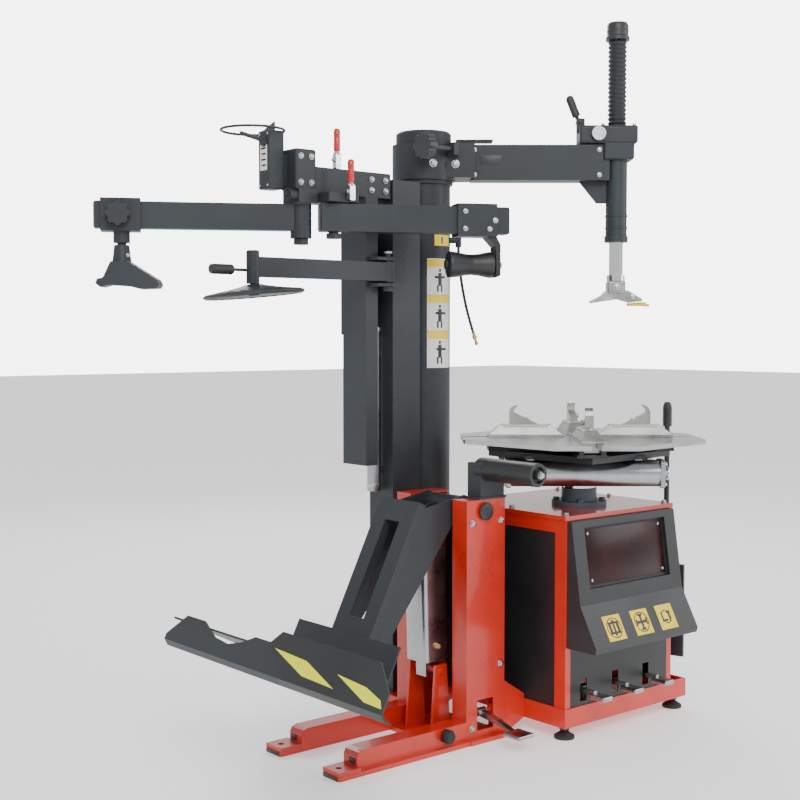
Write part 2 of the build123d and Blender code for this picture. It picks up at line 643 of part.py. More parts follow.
def helper_mast():
    """Sliding mast: box post, back plate on the guide post and the disc arm's bracket."""
    outer = box(MAST_LEFT, MAST_RIGHT, POST_FRONT, POST_BACK, MAST_BOTTOM, MAST_TOP)
    bore = box(MAST_LEFT + 5, MAST_RIGHT - 5, POST_FRONT + 5, POST_BACK - 5, MAST_BOTTOM - 1, MAST_TOP - 5)
    back = box(MAST_LEFT, POST_RIGHT, POST_BACK + GAP, POST_BACK + 9, 1090, 1440)
    joint = box(MAST_LEFT, MAST_RIGHT, POST_BACK, POST_BACK + 2, 1090, 1440)
    x, y = DISC_PIVOT
    body = outer - bore + back + joint
    for z in (1225, 1298):
        ear = box(MAST_LEFT + 10, x, y - 17, POST_FRONT, z, z + 9) + post(x, y, z, z + 9, 21)
        ear = ear + box(x - 5, x + 5, y + 10, POST_FRONT, z, z + 9)
        body = body + ear
    body = body + post(x, y, 1212, 1318, 9) + hexagon(x, y, 1212, 1224, 26)
    add("helper_mast", body)


def helper_beam():
    """Top beam of the helper unit with its end block and the two arm pins."""
    body = box(-700, -402, 360, 430, MAST_TOP, BEAM_TOP)
    body = body + soft_box(-730, -663, 358, 432, 1480, 1590, 6)
    fx, fy = FOOT_PIVOT
    rx, ry = ROLLER_PIVOT
    body = body + box(fx - 34, fx + 30, fy - 40, fy + 36, 1446, 1484)
    body = body + rod((fx - 58, fy - 20, 1466), (fx - 30, fy - 20, 1466), 16)
    body = body + rod((fx - 66, fy - 20, 1466), (fx - 58, fy - 20, 1466), 7)
    body = body + soft_box(-655, -552, ry - 38, 431, 1449, 1476, 3)
    body = body + post(fx, fy, 1335, 1460, PIN_DIAMETER / 2) + hexagon(fx, fy, 1335, 1351, 38)
    body = body + post(rx, ry, 1352, 1460, PIN_DIAMETER / 2) + hexagon(rx, ry, 1352, 1366, 38)
    add("helper_beam", body)


def control_box():
    """Control housing with a fin and the wire ring that guards the lever."""
    case = soft_box(-793, -744, 393, 446, 1480, 1637, 4)
    link = box(-746, -730, 400, 426, 1492, 1575)
    fin = prism([(-786, 436, 1635), (-744, 436, 1635), (-744, 436, 1668)], (0, 6, 0))
    ring = Solid.make_torus(85, 3.5, Plane(origin=(-806, 452, 1639)))
    add("control_box", case + link + fin + ring)


def joystick():
    """Short bent hand lever of the helper controls."""
    pivot = (-800, 416, 1606)
    ball = Solid.make_sphere(6).moved(Location(pivot))
    stem = rod(pivot, (-812, 416, 1612), 5)
    lever = rod((-812, 416, 1612), (-868, 416, 1622), 5.5)
    pin = rod((-800, 409, 1606), (-800, 423, 1606), 3)
    add("joystick", ball + stem + lever + pin)


def foot_arm():
    """Swinging arm of the press foot."""
    knuckle = sleeve(0, 0, 1352, 1444, 29, PIN_DIAMETER / 2 + RUNNING)
    arm = square_tube(20, FOOT_REACH, 24, 1372, 1443, 4)
    arm = arm - post(0, 0, 1300, 1500, 28)
    add("foot_arm", place(knuckle + arm, *FOOT_PIVOT, FOOT_TURN))


def foot_block():
    """Sliding block on the foot arm with its star knob."""
    body = box(428, 532, -33, 33, 1364, 1451)
    body = body - box(420, 540, -24 - SLIDING, 24 + SLIDING, 1372 - SLIDING, 1443 + SLIDING)
    boss = post(478, 0, 1334, 1366, 22)
    bore = post(478, 0, 1330, 1362, 12 + RUNNING)
    knob = Pos(486, 44, 1408) * Rot(-90, 0, 0) * lobed_knob(32, 22, 8)
    bolt = rod((486, 30, 1408), (486, 46, 1408), 12)
    add("foot_block", place(body + boss - bore + knob + bolt, *FOOT_PIVOT, FOOT_TURN))


def press_foot():
    """Press foot: stem, socket and sloping shoe, free to turn below its block."""
    turn = FOOT_TURN
    cx = FOOT_PIVOT[0] + 478 * math.cos(math.radians(turn))
    cy = FOOT_PIVOT[1] + 478 * math.sin(math.radians(turn))
    stem = post(0, 0, 1300, 1360, 12)
    socket = turned([(0, 1270), (27, 1270), (20, 1328), (0, 1328)], 0, 0)
    shoe = long_prism([(-24, 1284), (22, 1284), (98, 1236), (104, 1222), (98, 1213), (52, 1211),
                       (20, 1219), (-30, 1222), (-52, 1216), (-64, 1226), (-60, 1238), (-44, 1242)], -34, 34)
    add("press_foot", place(stem + socket + shoe, cx, cy, -40))


def roller_arm():
    """Swinging arm of the press roller."""
    bush = sleeve(0, 0, 1371, 1446, 20, PIN_DIAMETER / 2 + RUNNING)
    arm = square_tube(-37, ROLLER_REACH, 26, 1371, 1446, 4)
    arm = arm - post(0, 0, 1300, 1500, PIN_DIAMETER / 2 + RUNNING)
    add("roller_arm", place(arm + bush, *ROLLER_PIVOT, ROLLER_TURN))


def roller_block():
    """Sliding block on the roller arm with the bent strap and axle of the press roller."""
    body = box(344, 458, -34, 34, 1363, 1454)
    body = body - box(330, 470, -26 - SLIDING, 26 + SLIDING, 1371 - SLIDING, 1446 + SLIDING)
    strap = long_prism([(430, 1364), (458, 1364), (470, 1342), (470, 1256), (458, 1250), (456, 1336)], -26, 26)
    axle = rod((322, 0, 1286), (460, 0, 1286), 8)
    washer = rod((316, 0, 1286), (322, 0, 1286), 14)
    add("roller_block", place(body + strap + axle + washer, *ROLLER_PIVOT, ROLLER_TURN))


def press_roller():
    """Waisted rubber roller on its axle."""
    length = 126.0
    outline = [(8 + RUNNING, 0), (36, 0), (37, 6), (35, 24), (30, 50), (29, 66), (31, 88), (36, 112),
               (37, length - 5), (35, length), (8 + RUNNING, length)]
    roller = turned(outline, 0, 0)
    roller = Pos(325, 0, 1286) * Rot(0, 90, 0) * roller
    add("press_roller", place(roller, *ROLLER_PIVOT, ROLLER_TURN))


def tilted(shape):
    """Tilt a shape built about the disc's upright axis, low towards the left."""
    return Pos(DISC_POST_X, DISC_PIVOT[1], 1225) * Rot(0, 0, -40) * Rot(0, -DISC_TILT, 0) * shape


def disc_arm():
    """Arm of the bead lifting disc: knuckle, bar, end post, hand grip and the disc's stem."""
    x, y = DISC_PIVOT
    knuckle = sleeve(x, y, 1238, 1294, 19, 9 + RUNNING)
    bar = box(DISC_POST_X + 8, x - 12, y - 15, y + 15, 1240, 1292)
    bar = bar - box(DISC_POST_X + 9, x - 40, y - 11, y + 11, 1244, 1288)
    end = post(DISC_POST_X, y, 1222, 1304, 17)
    grip = rod((DISC_POST_X - 12, y, 1257), (-955, y, 1257), 4)
    grip = grip + rod((-1016, y, 1257), (-952, y, 1257), 12)
    stem = tilted(post(0, 0, -32, 4, 8))
    head = tilted(post(0, 0, -34, -28, 13))
    add("disc_arm", knuckle + bar + end + grip + stem + head)


def lift_disc():
    """Round bead lifting disc with a cone hub and a ring of holes near its rim."""
    radius = DISC_DIAMETER / 2
    outline = [(8 + RUNNING, -26), (40, -27), (radius - 6, -36), (radius, -32), (radius, -28),
               (radius - 8, -24), (70, -16), (30, -8), (22, -5), (8 + RUNNING, -5)]
    disc = turned(outline, 0, 0)
    for k in range(22):
        angle = 2 * math.pi * k / 22
        disc = disc - post(110 * math.cos(angle), 110 * math.sin(angle), -60, 10, 8)
    add("lift_disc", tilted(disc))


def latches():
    """Two hand valves of the helper unit, each a short lever on its own pin."""
    for name, x, y, z in (("beam_latch", -578, 378, BEAM_TOP), ("arm_latch", -590, 300, 1452)):
        base = box(x - 9, x + 9, y - 8, y + 8, z + 2, z + 44)
        stem = post(x, y, z + 44, z + 88, 6.5)
        pin = rod((x, y - 10, z + 12), (x, y + 10, z + 12), 4)
        add(name, fillet(base.edges().filter_by(Axis.Y), 4) + stem + pin)


# -------------------------------------------------------------- wheel lift

def lift_base():
    """Two floor legs with stepped flanges, cross plate and the tie to the cabinet."""
    body = box(UPRIGHT_LEFT, UPRIGHT_RIGHT, LEG_FRONT_Y - 20, LEG_REAR_Y + 20, 0, 12)
    for y0, y1, out in ((LEG_FRONT_Y, LEG_FRONT_Y + 54, -16), (LEG_REAR_Y - 54, LEG_REAR_Y, 16)):
        low = min(y0, y0 + out)
        high = max(y1, y1 + out)
        flange = box(LEG_END, UPRIGHT_RIGHT, low, high, 0, 12)
        flange = fillet(flange.edges().filter_by(Axis.Z), 8)
        flange = flange + box(LEG_END + 2, LEG_END + 70, low + 1, high - 1, 12, LEG_SHOE)
        flange = flange - post(LEG_END + 26, (low + high) / 2, -1, LEG_SHOE + 1, 8)
        rib = long_prism([(LEG_END + 68, 12), (LEG_END + 68, 44), (LEG_END + 74, 55), (LEG_END + 88, 60),
                          (UPRIGHT_LEFT, 60), (UPRIGHT_LEFT, 12)], y0, y1)
        rib = rib - box(LEG_END + 92, UPRIGHT_LEFT + 1, y0 + 4, y1 - 4, 16, 56)
        body = body + flange + rib
    for y in (LEG_FRONT_Y + 1, LEG_REAR_Y - 7):
        body = body + long_prism([(UPRIGHT_RIGHT, 0), (UPRIGHT_RIGHT, 150), (BASE_LEFT, 100),
                                  (BASE_LEFT, BASE_BOTTOM)], y, y + 6)
    x, z = BARREL_PIN
    for y in (LIFT_MID_Y - 56, LIFT_MID_Y + 48):
        ear = long_prism([(x - 34, 12), (x + 34, 12), (x + 20, z + 18), (x - 20, z + 18)], y, y + 8)
        body = body + ear
    body = body + box(x - 60, UPRIGHT_LEFT, LEG_FRONT_Y + 54, LEG_REAR_Y - 54, 0, 12)
    body = body + rod((x, LIFT_MID_Y - 60, z), (x, LIFT_MID_Y + 60, z), 9)
    add("lift_base", body)


def lift_uprights():
    """Two C-section uprights that carry the lift's shaft."""
    shaft_radius = 15 + RUNNING
    web = 5
    pair = []
    for front in (True, False):
        y0 = LEG_FRONT_Y if front else LEG_REAR_Y - UPRIGHT_DEPTH
        y1 = y0 + UPRIGHT_DEPTH
        body = box(UPRIGHT_LEFT, UPRIGHT_RIGHT, y0, y1, 12, UPRIGHT_TOP)
        if front:
            body = body - box(UPRIGHT_LEFT + web, UPRIGHT_RIGHT - web, y0 + web, y1 + 1, 17, UPRIGHT_TOP - 6)
            body = body - box(-405, -345, y0 - 1, y0 + web + 1, 30, 112)
        else:
            body = body - box(UPRIGHT_LEFT + web, UPRIGHT_RIGHT - web, y0 - 1, y1 - web, 17, UPRIGHT_TOP - 6)
        body = body - rod((LIFT_PIVOT_X, y0 - 5, LIFT_PIVOT_Z), (LIFT_PIVOT_X, y1 + 5, LIFT_PIVOT_Z),
                          shaft_radius)
        pair.append(body)
    pin = rod((-412, LEG_FRONT_Y + 18, 74), (-338, LEG_FRONT_Y + 18, 74), 5)
    ears = box(-412, -408, LEG_FRONT_Y + web, LEG_FRONT_Y + 28, 60, 88)
    ears = ears + box(-342, -338, LEG_FRONT_Y + web, LEG_FRONT_Y + 28, 60, 88)
    pair[0] = pair[0] + pin + ears
    add("lift_uprights", *pair)


def lift_pedal():
    """Pedal valve that raises and lowers the wheel lift."""
    y = LEG_FRONT_Y + 18
    hub = rod((-390, y, 74), (-360, y, 74), 11)
    arm = side_prism([(y, 64), (y, 82), (-60, 66), (-118, 48), (-118, 40), (-64, 54)], -384, -366)
    pad = soft_box(-406, -346, -166, -104, 38, 50, 5)
    bore = rod((-420, y, 74), (-330, y, 74), 5 + RUNNING)
    add("lift_pedal", hub + arm + pad - bore)


def roller_post():
    """Post on the front upright with the axle of the guide roller."""
    body = box(-392, -306, -6, 46, UPRIGHT_TOP, 748)
    plate = box(-400, -300, -8, 48, UPRIGHT_TOP, UPRIGHT_TOP + 6)
    axle = rod((-365, -6, 730), (-365, -198, 730), 8)
    boss = rod((-365, 20, 730), (-365, -9, 730), 31)
    washer = rod((-365, -198, 730), (-365, -192, 730), 13)
    add("roller_post", body + plate + axle + boss + washer)


def guide_roller():
    """Roller that the wheel rides over between the lift and the table."""
    tube = rod((-365, -191, 730), (-365, -10, 730), 31) - rod((-365, -200, 730), (-365, 0, 730), 8 + RUNNING)
    recess = rod((-365, -192, 730), (-365, -182, 730), 22) - rod((-365, -193, 730), (-365, -181, 730), 12)
    add("guide_roller", tube - recess)


def raised(shape):
    """Turn a shape from the lowered lift, built about its shaft, to the raised pose."""
    return Pos(LIFT_PIVOT_X, 0, LIFT_PIVOT_Z) * Rot(0, LIFT_ANGLE, 0) * shape


def lift_arm():
    """Shaft, hub, side plates and back rest of the tilting lift."""
    y0 = LEG_FRONT_Y + UPRIGHT_DEPTH + 10
    y1 = LEG_REAR_Y - UPRIGHT_DEPTH - 10
    shaft = rod((0, LEG_FRONT_Y - 6, 0), (0, LEG_REAR_Y + 6, 0), 15)
    hub = rod((0, y0 - 3, 0), (0, y1 + 3, 0), 32)
    body = shaft + hub
    for y in (y0, y1 - 8):
        plate = long_prism([(-158, -70), (-158, -505), (-120, -505), (-24, -26), (20, -26), (32, 0), (20, 26),
                            (-24, 30)], y, y + 8)
        body = body + plate
    for y in (y0 - 3, y1 - 47):
        outer = box(-TRAY_INNER, -145, y, y + 50, TRAY_FLOOR, -50)
        body = body + outer - box(-TRAY_INNER + 4, -149, y + 4, y + 46, TRAY_FLOOR - 1, -54)
    for z in (-440, -110):
        body = body + box(-TRAY_INNER, -158, y0, y1, z, z + 60)
    lug_angle = math.radians(ROD_PIN_ANGLE + LIFT_ANGLE)
    lug_x = ROD_PIN_RADIUS * math.cos(lug_angle)
    lug_z = ROD_PIN_RADIUS * math.sin(lug_angle)
    for y in (LIFT_MID_Y - 25, LIFT_MID_Y + 17):
        lug = long_prism([(0, 30), (0, -30), (lug_x, lug_z - 22), (lug_x - 18, lug_z), (lug_x, lug_z + 22)],
                         y, y + 8)
        lug = lug - rod((lug_x, y - 1, lug_z), (lug_x, y + 9, lug_z), 9)
        body = body + lug
    add("lift_arm", raised(body))


def tray_fold(y0, y1):
    """Folded foot along the bottom of the lip."""
    outer_x = -TRAY_LIP - TRAY_SHEET
    return long_prism([(outer_x, TRAY_LOW), (outer_x + 16, TRAY_LOW - 12), (outer_x + 34, TRAY_LOW - 12),
                       (outer_x + 34, TRAY_LOW - 7), (outer_x + 18, TRAY_LOW - 7),
                       (outer_x + TRAY_SHEET, TRAY_LOW + 3)], y0, y1)


def trays():
    """Grey rear length with its inner wall and notched lip, and black front wing on a three-cornered floor."""
    low = TRAY_FLOOR - TRAY_SHEET
    outer_x = -TRAY_LIP - TRAY_SHEET
    top = TRAY_FLOOR + 12
    joint = TRAY_SPLIT - 69
    rear = box(-TRAY_INNER - TRAY_SHEET, -TRAY_INNER, TRAY_SPLIT, TRAY_BACK, low, TRAY_FLOOR + 120)
    rear = rear + box(-TRAY_LIP - 1, -TRAY_INNER, TRAY_SPLIT, TRAY_BACK, low, TRAY_FLOOR)
    rear_lip = side_prism([(TRAY_BACK, TRAY_LOW), (TRAY_BACK, TRAY_LOW + 15), (TRAY_BACK - 63, top),
                           (214, top), (150, TRAY_FLOOR - 17), (87, TRAY_FLOOR - 23), (35, TRAY_FLOOR - 9),
                           (-9, top), (TRAY_SPLIT, top), (joint, TRAY_LOW)], outer_x, -TRAY_LIP)
    rear = rear + rear_lip + tray_fold(joint, TRAY_BACK)
    rear = rear - box(-TRAY_LIP - 2, -TRAY_LIP, 10, 186, low - 1, TRAY_FLOOR + 1)
    front = prism([(-TRAY_LIP - 1, TRAY_FRONT + 16, low), (-TRAY_LIP - 1, joint + 30, low),
                   (-TRAY_LIP + 12, TRAY_SPLIT, low), (-TRAY_INNER, TRAY_SPLIT, low)], (0, 0, TRAY_SHEET))
    front_lip = side_prism([(joint, TRAY_LOW), (TRAY_SPLIT, top), (TRAY_SPLIT - 30, TRAY_FLOOR + 42),
                            (TRAY_FRONT + 57, TRAY_FLOOR + 42), (TRAY_FRONT, TRAY_FLOOR - 15),
                            (TRAY_FRONT, TRAY_LOW)], outer_x, -TRAY_LIP)
    add("tray_rear", raised(rear))
    add("tray_front", raised(front + front_lip + tray_fold(TRAY_FRONT, joint)))


def lift_cylinder():
    """Square air cylinder of the lift: barrel on its pin, and rod with an eye."""
    x, z = BARREL_PIN
    top_x = LIFT_PIVOT_X + ROD_PIN_RADIUS * math.cos(math.radians(ROD_PIN_ANGLE))
    top_z = LIFT_PIVOT_Z + ROD_PIN_RADIUS * math.sin(math.radians(ROD_PIN_ANGLE))
    length = math.hypot(top_x - x, top_z - z)
    tilt = math.degrees(math.atan2(top_x - x, top_z - z))
    y = LIFT_MID_Y
    barrel = fillet(box(-42, 42, y - 42, y + 42, 26, 330).edges().filter_by(Axis.Z), 12)
    barrel = barrel + box(-24, 24, y - 20, y + 20, -18, 28)
    barrel = barrel - rod((0, y - 60, 0), (0, y + 60, 0), 9 + RUNNING)
    barrel = barrel - Pos(0, y, 40) * Cylinder(12.5 + RUNNING, 400, align=(Align.CENTER, Align.CENTER, Align.MIN))
    piston_rod = rod((0, y, 90), (0, y, length - 16), 12.5)
    eye = rod((0, y - 12, length), (0, y + 12, length), 20)
    eye = eye - rod((0, y - 13, length), (0, y + 13, length), 9)
    add("lift_barrel", Pos(x, 0, z) * Rot(0, tilt, 0) * barrel)
    add("lift_rod", Pos(x, 0, z) * Rot(0, tilt, 0) * (piston_rod + eye))


# ------------------------------------------------------------------- hoses

HOSE_DIAMETER = 9.0
COIL_DIAMETER = 30.0
COIL_TOP = (COLUMN_X + 30, COLUMN_Y + 112, 1250.0)
COIL_BOTTOM = 700.0

# Route of the hanging hose, from the elbow on the column to its brass end.
HOSE_POINTS = [
    (-119.6, 381.5, 1352.0), (-119.6, 381.5, 1318.0), (-114.0, 377.0, 1262.0), (-106.0, 371.0, 1202.0),
    (-95.0, 362.5, 1142.0), (-83.0, 353.0, 1092.0),
]


def air_hose():
    """Hanging inflation hose, straight runs joined by tangent arcs."""
    points = [Vector(*p) for p in HOSE_POINTS]
    radii = []
    for k in range(1, len(points) - 1):
        first = points[k] - points[k - 1]
        second = points[k + 1] - points[k]
        bend = math.radians(first.get_angle(second))
        radii.append(0.45 * min(first.length, second.length) / math.tan(bend / 2))
    print("hose radii", [round(r) for r in radii])
    path = FilletPolyline(*points, radius=radii)
    start = Plane(origin=points[0], z_dir=(points[1] - points[0]))
    tube = sweep(start * Circle(HOSE_DIAMETER / 2), path=path)
    print("hose length", round(path.length), "volume ratio",
          round(tube.volume / (path.length * math.pi * HOSE_DIAMETER ** 2 / 4), 4))
    add("air_hose", tube)


def coil_hose():
    """Curly air hose behind the column, as the outer shape of its coil."""
    x, y, z = COIL_TOP
    add("coil_hose", post(x, y, COIL_BOTTOM, z, COIL_DIAMETER / 2))


def build():
    for make in (cabinet_frame, top_plate, side_panels, front_cover, pedal_panel, leveling_feet, drive_motor,
                 gearbox, bead_cylinder, bead_arm, pedals, spindle, table_plate, carrier, clamp_cylinders,
                 jaws, column_base, column, swing_arm, lock_housing, lock_lever, stop_knob, tool_shaft,
                 mount_head, head_insert, shaft_bellows, guide_post, helper_cylinder, helper_rod,
                 helper_mast, helper_beam, control_box, joystick, foot_arm, foot_block, press_foot,
                 roller_arm, roller_block, press_roller, disc_arm, lift_disc, latches, lift_base,
                 lift_uprights, lift_pedal, roller_post, guide_roller, lift_arm, trays, lift_cylinder,
                 air_hose, coil_hose):
        make()


build()
whole = [shape.bounding_box() for name, shape in nodes.items() if name not in ("air_hose", "coil_hose")]
low_x = min(b.min.X for b in whole)
high_x = max(b.max.X for b in whole)
low_y = min(b.min.Y for b in whole)
high_y = max(b.max.Y for b in whole)
SHIFT = Pos(-(low_x + high_x) / 2, -(low_y + high_y) / 2, 0)
print("origin moved by", -(low_x + high_x) / 2, -(low_y + high_y) / 2)

os.makedirs("parts", exist_ok=True)
for name, shape in nodes.items():
    export_step(SHIFT * shape, "parts/" + name + ".step")
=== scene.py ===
"""Looks of a swing-arm tyre changer with a helper unit and a tilting wheel lift."""
import math

import bmesh
import bpy
from mathutils import Matrix, Vector


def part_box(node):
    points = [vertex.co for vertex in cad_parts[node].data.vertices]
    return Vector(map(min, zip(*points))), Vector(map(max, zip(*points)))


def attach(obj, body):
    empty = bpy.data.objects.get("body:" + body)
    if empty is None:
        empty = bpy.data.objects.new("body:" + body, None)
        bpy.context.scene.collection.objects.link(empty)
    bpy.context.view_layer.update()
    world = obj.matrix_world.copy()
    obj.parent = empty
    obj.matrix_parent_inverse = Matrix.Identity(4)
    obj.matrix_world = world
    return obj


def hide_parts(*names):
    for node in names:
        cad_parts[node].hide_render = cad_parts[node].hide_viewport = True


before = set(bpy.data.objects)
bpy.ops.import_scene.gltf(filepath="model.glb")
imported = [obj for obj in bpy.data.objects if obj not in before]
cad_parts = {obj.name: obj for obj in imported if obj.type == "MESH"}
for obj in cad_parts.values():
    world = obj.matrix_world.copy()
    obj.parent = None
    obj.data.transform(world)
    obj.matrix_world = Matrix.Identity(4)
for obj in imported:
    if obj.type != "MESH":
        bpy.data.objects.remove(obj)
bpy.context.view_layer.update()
bpy.ops.object.select_all(action="DESELECT")


# ---- Camera, floor and light -------------------------------------------
# The machine stands on a plain pale floor under soft studio light.
# Places are in millimetres from the turntable's axis on the floor.
spindle_low, spindle_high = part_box("spindle")
AXIS_X = (spindle_low.x + spindle_high.x) / 2
AXIS_Y = (spindle_low.y + spindle_high.y) / 2


def at(x, y, z):
    """A point in metres from millimetres about the turntable's axis."""
    return Vector((x / 1000 + AXIS_X, y / 1000 + AXIS_Y, z / 1000))


bpy.ops.object.camera_add(location=at(-2769.3, -2506.0, 1091.6),
                          rotation=(math.radians(87.1), 0, math.radians(-39.98)))
camera = bpy.context.object
camera.name = "studio_camera"
camera.data.lens = 58.5
camera.data.sensor_width = 36.0
bpy.context.scene.camera = camera

floor_paint = bpy.data.materials.new("studio_floor_paint")
floor_paint.use_nodes = True
floor_shader = floor_paint.node_tree.nodes["Principled BSDF"]
floor_shader.inputs["Base Color"].default_value = (0.93, 0.93, 0.93, 1)
floor_shader.inputs["Roughness"].default_value = 0.55
floor_shader.inputs["Emission Color"].default_value = (1, 1, 1, 1)
floor_shader.inputs["Emission Strength"].default_value = 0.45
bpy.ops.mesh.primitive_plane_add(size=60, location=(0, 0, -0.0006))
studio_floor = bpy.context.object
studio_floor.name = "studio_floor"
studio_floor.data.materials.append(floor_paint)

studio_air = bpy.data.worlds.new("studio_air")
studio_air.use_nodes = True
air_nodes, air_links = studio_air.node_tree.nodes, studio_air.node_tree.links
air_nodes["Background"].inputs["Color"].default_value = (1, 1, 1, 1)
seen_by = air_nodes.new("ShaderNodeLightPath")
air_strength = air_nodes.new("ShaderNodeMapRange")
air_strength.inputs["To Min"].default_value = 0.85
air_strength.inputs["To Max"].default_value = 6.0
air_links.new(seen_by.outputs["Is Camera Ray"], air_strength.inputs["Value"])
air_links.new(air_strength.outputs["Result"], air_nodes["Background"].inputs["Strength"])
bpy.context.scene.world = studio_air

for lamp_name, lamp_place, lamp_aim, lamp_size, lamp_power in (
        ("key_panel", (-2600, -3400, 3900), (-150, 100, 900), 2.6, 150),
        ("fill_panel", (2900, -2700, 2300), (0, 0, 700), 2.4, 60),
        ("rim_panel", (1400, 3400, 3400), (-100, 100, 1100), 2.2, 90)):
    bpy.ops.object.light_add(type="AREA", location=at(*lamp_place))
    lamp = bpy.context.object
    lamp.name = lamp_name
    lamp.data.size = lamp_size
    lamp.data.energy = lamp_power
    aim = at(*lamp_aim) - at(*lamp_place)
    lamp.rotation_euler = aim.to_track_quat("-Z", "Y").to_euler()


# ---- Air hoses ----------------------------------------------------------
# Black rubber hoses on the column: a short one that hangs from an elbow and ends in a
# brass coupling, and a close spiral between two brackets at the back.
def uneven_surface_group():
    """Shader group: slow patches of two colours, with fine grain for roughness and height."""
    group = bpy.data.node_groups.new("uneven_surface", "ShaderNodeTree")
    for socket, kind, value in (("Vector", "NodeSocketVector", None),
                                ("Light", "NodeSocketColor", (0.5, 0.5, 0.5, 1)),
                                ("Dark", "NodeSocketColor", (0.4, 0.4, 0.4, 1)),
                                ("Patch Scale", "NodeSocketFloat", 6.0),
                                ("Grain Scale", "NodeSocketFloat", 900.0),
                                ("Smooth", "NodeSocketFloat", 0.3),
                                ("Rough", "NodeSocketFloat", 0.5)):
        made = group.interface.new_socket(socket, in_out="INPUT", socket_type=kind)
        if value is not None:
            made.default_value = value
    for socket, kind in (("Color", "NodeSocketColor"), ("Roughness", "NodeSocketFloat"),
                         ("Height", "NodeSocketFloat")):
        group.interface.new_socket(socket, in_out="OUTPUT", socket_type=kind)
    nodes, links = group.nodes, group.links
    taken = nodes.new("NodeGroupInput")
    given = nodes.new("NodeGroupOutput")
    patches = nodes.new("ShaderNodeTexNoise")
    patches.inputs["Detail"].default_value = 6
    patches.inputs["Roughness"].default_value = 0.62
    grain = nodes.new("ShaderNodeTexNoise")
    grain.inputs["Detail"].default_value = 3
    spread = nodes.new("ShaderNodeMapRange")
    spread.inputs["From Min"].default_value = 0.32
    spread.inputs["From Max"].default_value = 0.68
    blend = nodes.new("ShaderNodeMix")
    blend.data_type = "RGBA"
    gloss = nodes.new("ShaderNodeMapRange")
    mingle = nodes.new("ShaderNodeMath")
    mingle.operation = "MULTIPLY_ADD"
    mingle.inputs[1].default_value = 0.5
    links.new(taken.outputs["Vector"], patches.inputs["Vector"])
    links.new(taken.outputs["Vector"], grain.inputs["Vector"])
    links.new(taken.outputs["Patch Scale"], patches.inputs["Scale"])
    links.new(taken.outputs["Grain Scale"], grain.inputs["Scale"])
    links.new(patches.outputs["Fac"], spread.inputs["Value"])
    links.new(spread.outputs["Result"], blend.inputs["Factor"])
    links.new(taken.outputs["Dark"], blend.inputs["A"])
    links.new(taken.outputs["Light"], blend.inputs["B"])
    links.new(grain.outputs["Fac"], mingle.inputs[0])
    links.new(spread.outputs["Result"], mingle.inputs[2])
    links.new(mingle.outputs["Value"], gloss.inputs["Value"])
    gloss.inputs["From Max"].default_value = 1.5
    links.new(taken.outputs["Smooth"], gloss.inputs["To Min"])
    links.new(taken.outputs["Rough"], gloss.inputs["To Max"])
    links.new(blend.outputs["Result"], given.inputs["Color"])
    links.new(gloss.outputs["Result"], given.inputs["Roughness"])
    links.new(grain.outputs["Fac"], given.inputs["Height"])
    return group


def edge_wear_group():
    """Shader group: where a rounded normal leaves the flat one, broken up by noise."""
    group = bpy.data.node_groups.new("edge_wear", "ShaderNodeTree")
    group.interface.new_socket("Vector", in_out="INPUT", socket_type="NodeSocketVector")
    group.interface.new_socket("Rounded", in_out="INPUT", socket_type="NodeSocketVector")
    amount = group.interface.new_socket("Amount", in_out="INPUT", socket_type="NodeSocketFloat")
    amount.default_value = 0.5
    group.interface.new_socket("Mask", in_out="OUTPUT", socket_type="NodeSocketFloat")
    nodes, links = group.nodes, group.links
    taken = nodes.new("NodeGroupInput")
    given = nodes.new("NodeGroupOutput")
    flat = nodes.new("ShaderNodeNewGeometry")
    meet = nodes.new("ShaderNodeVectorMath")
    meet.operation = "DOT_PRODUCT"
    edge = nodes.new("ShaderNodeMapRange")
    edge.inputs["From Min"].default_value = 0.99
    edge.inputs["From Max"].default_value = 0.86
    chips = nodes.new("ShaderNodeTexNoise")
    chips.inputs["Scale"].default_value = 70
    chips.inputs["Detail"].default_value = 5
    broken = nodes.new("ShaderNodeMapRange")
    broken.inputs["From Min"].default_value = 0.42
    broken.inputs["From Max"].default_value = 0.62
    first = nodes.new("ShaderNodeMath")
    first.operation = "MULTIPLY"
    second = nodes.new("ShaderNodeMath")
    second.operation = "MULTIPLY"
    links.new(taken.outputs["Rounded"], meet.inputs[0])
    links.new(flat.outputs["True Normal"], meet.inputs[1])
    links.new(meet.outputs["Value"], edge.inputs["Value"])
    links.new(taken.outputs["Vector"], chips.inputs["Vector"])
    links.new(chips.outputs["Fac"], broken.inputs["Value"])
    links.new(edge.outputs["Result"], first.inputs[0])
    links.new(broken.outputs["Result"], first.inputs[1])
    links.new(first.outputs["Value"], second.inputs[0])
    links.new(taken.outputs["Amount"], second.inputs[1])
    links.new(second.outputs["Value"], given.inputs["Mask"])
    return group


UNEVEN = uneven_surface_group()
EDGE_WEAR = edge_wear_group()


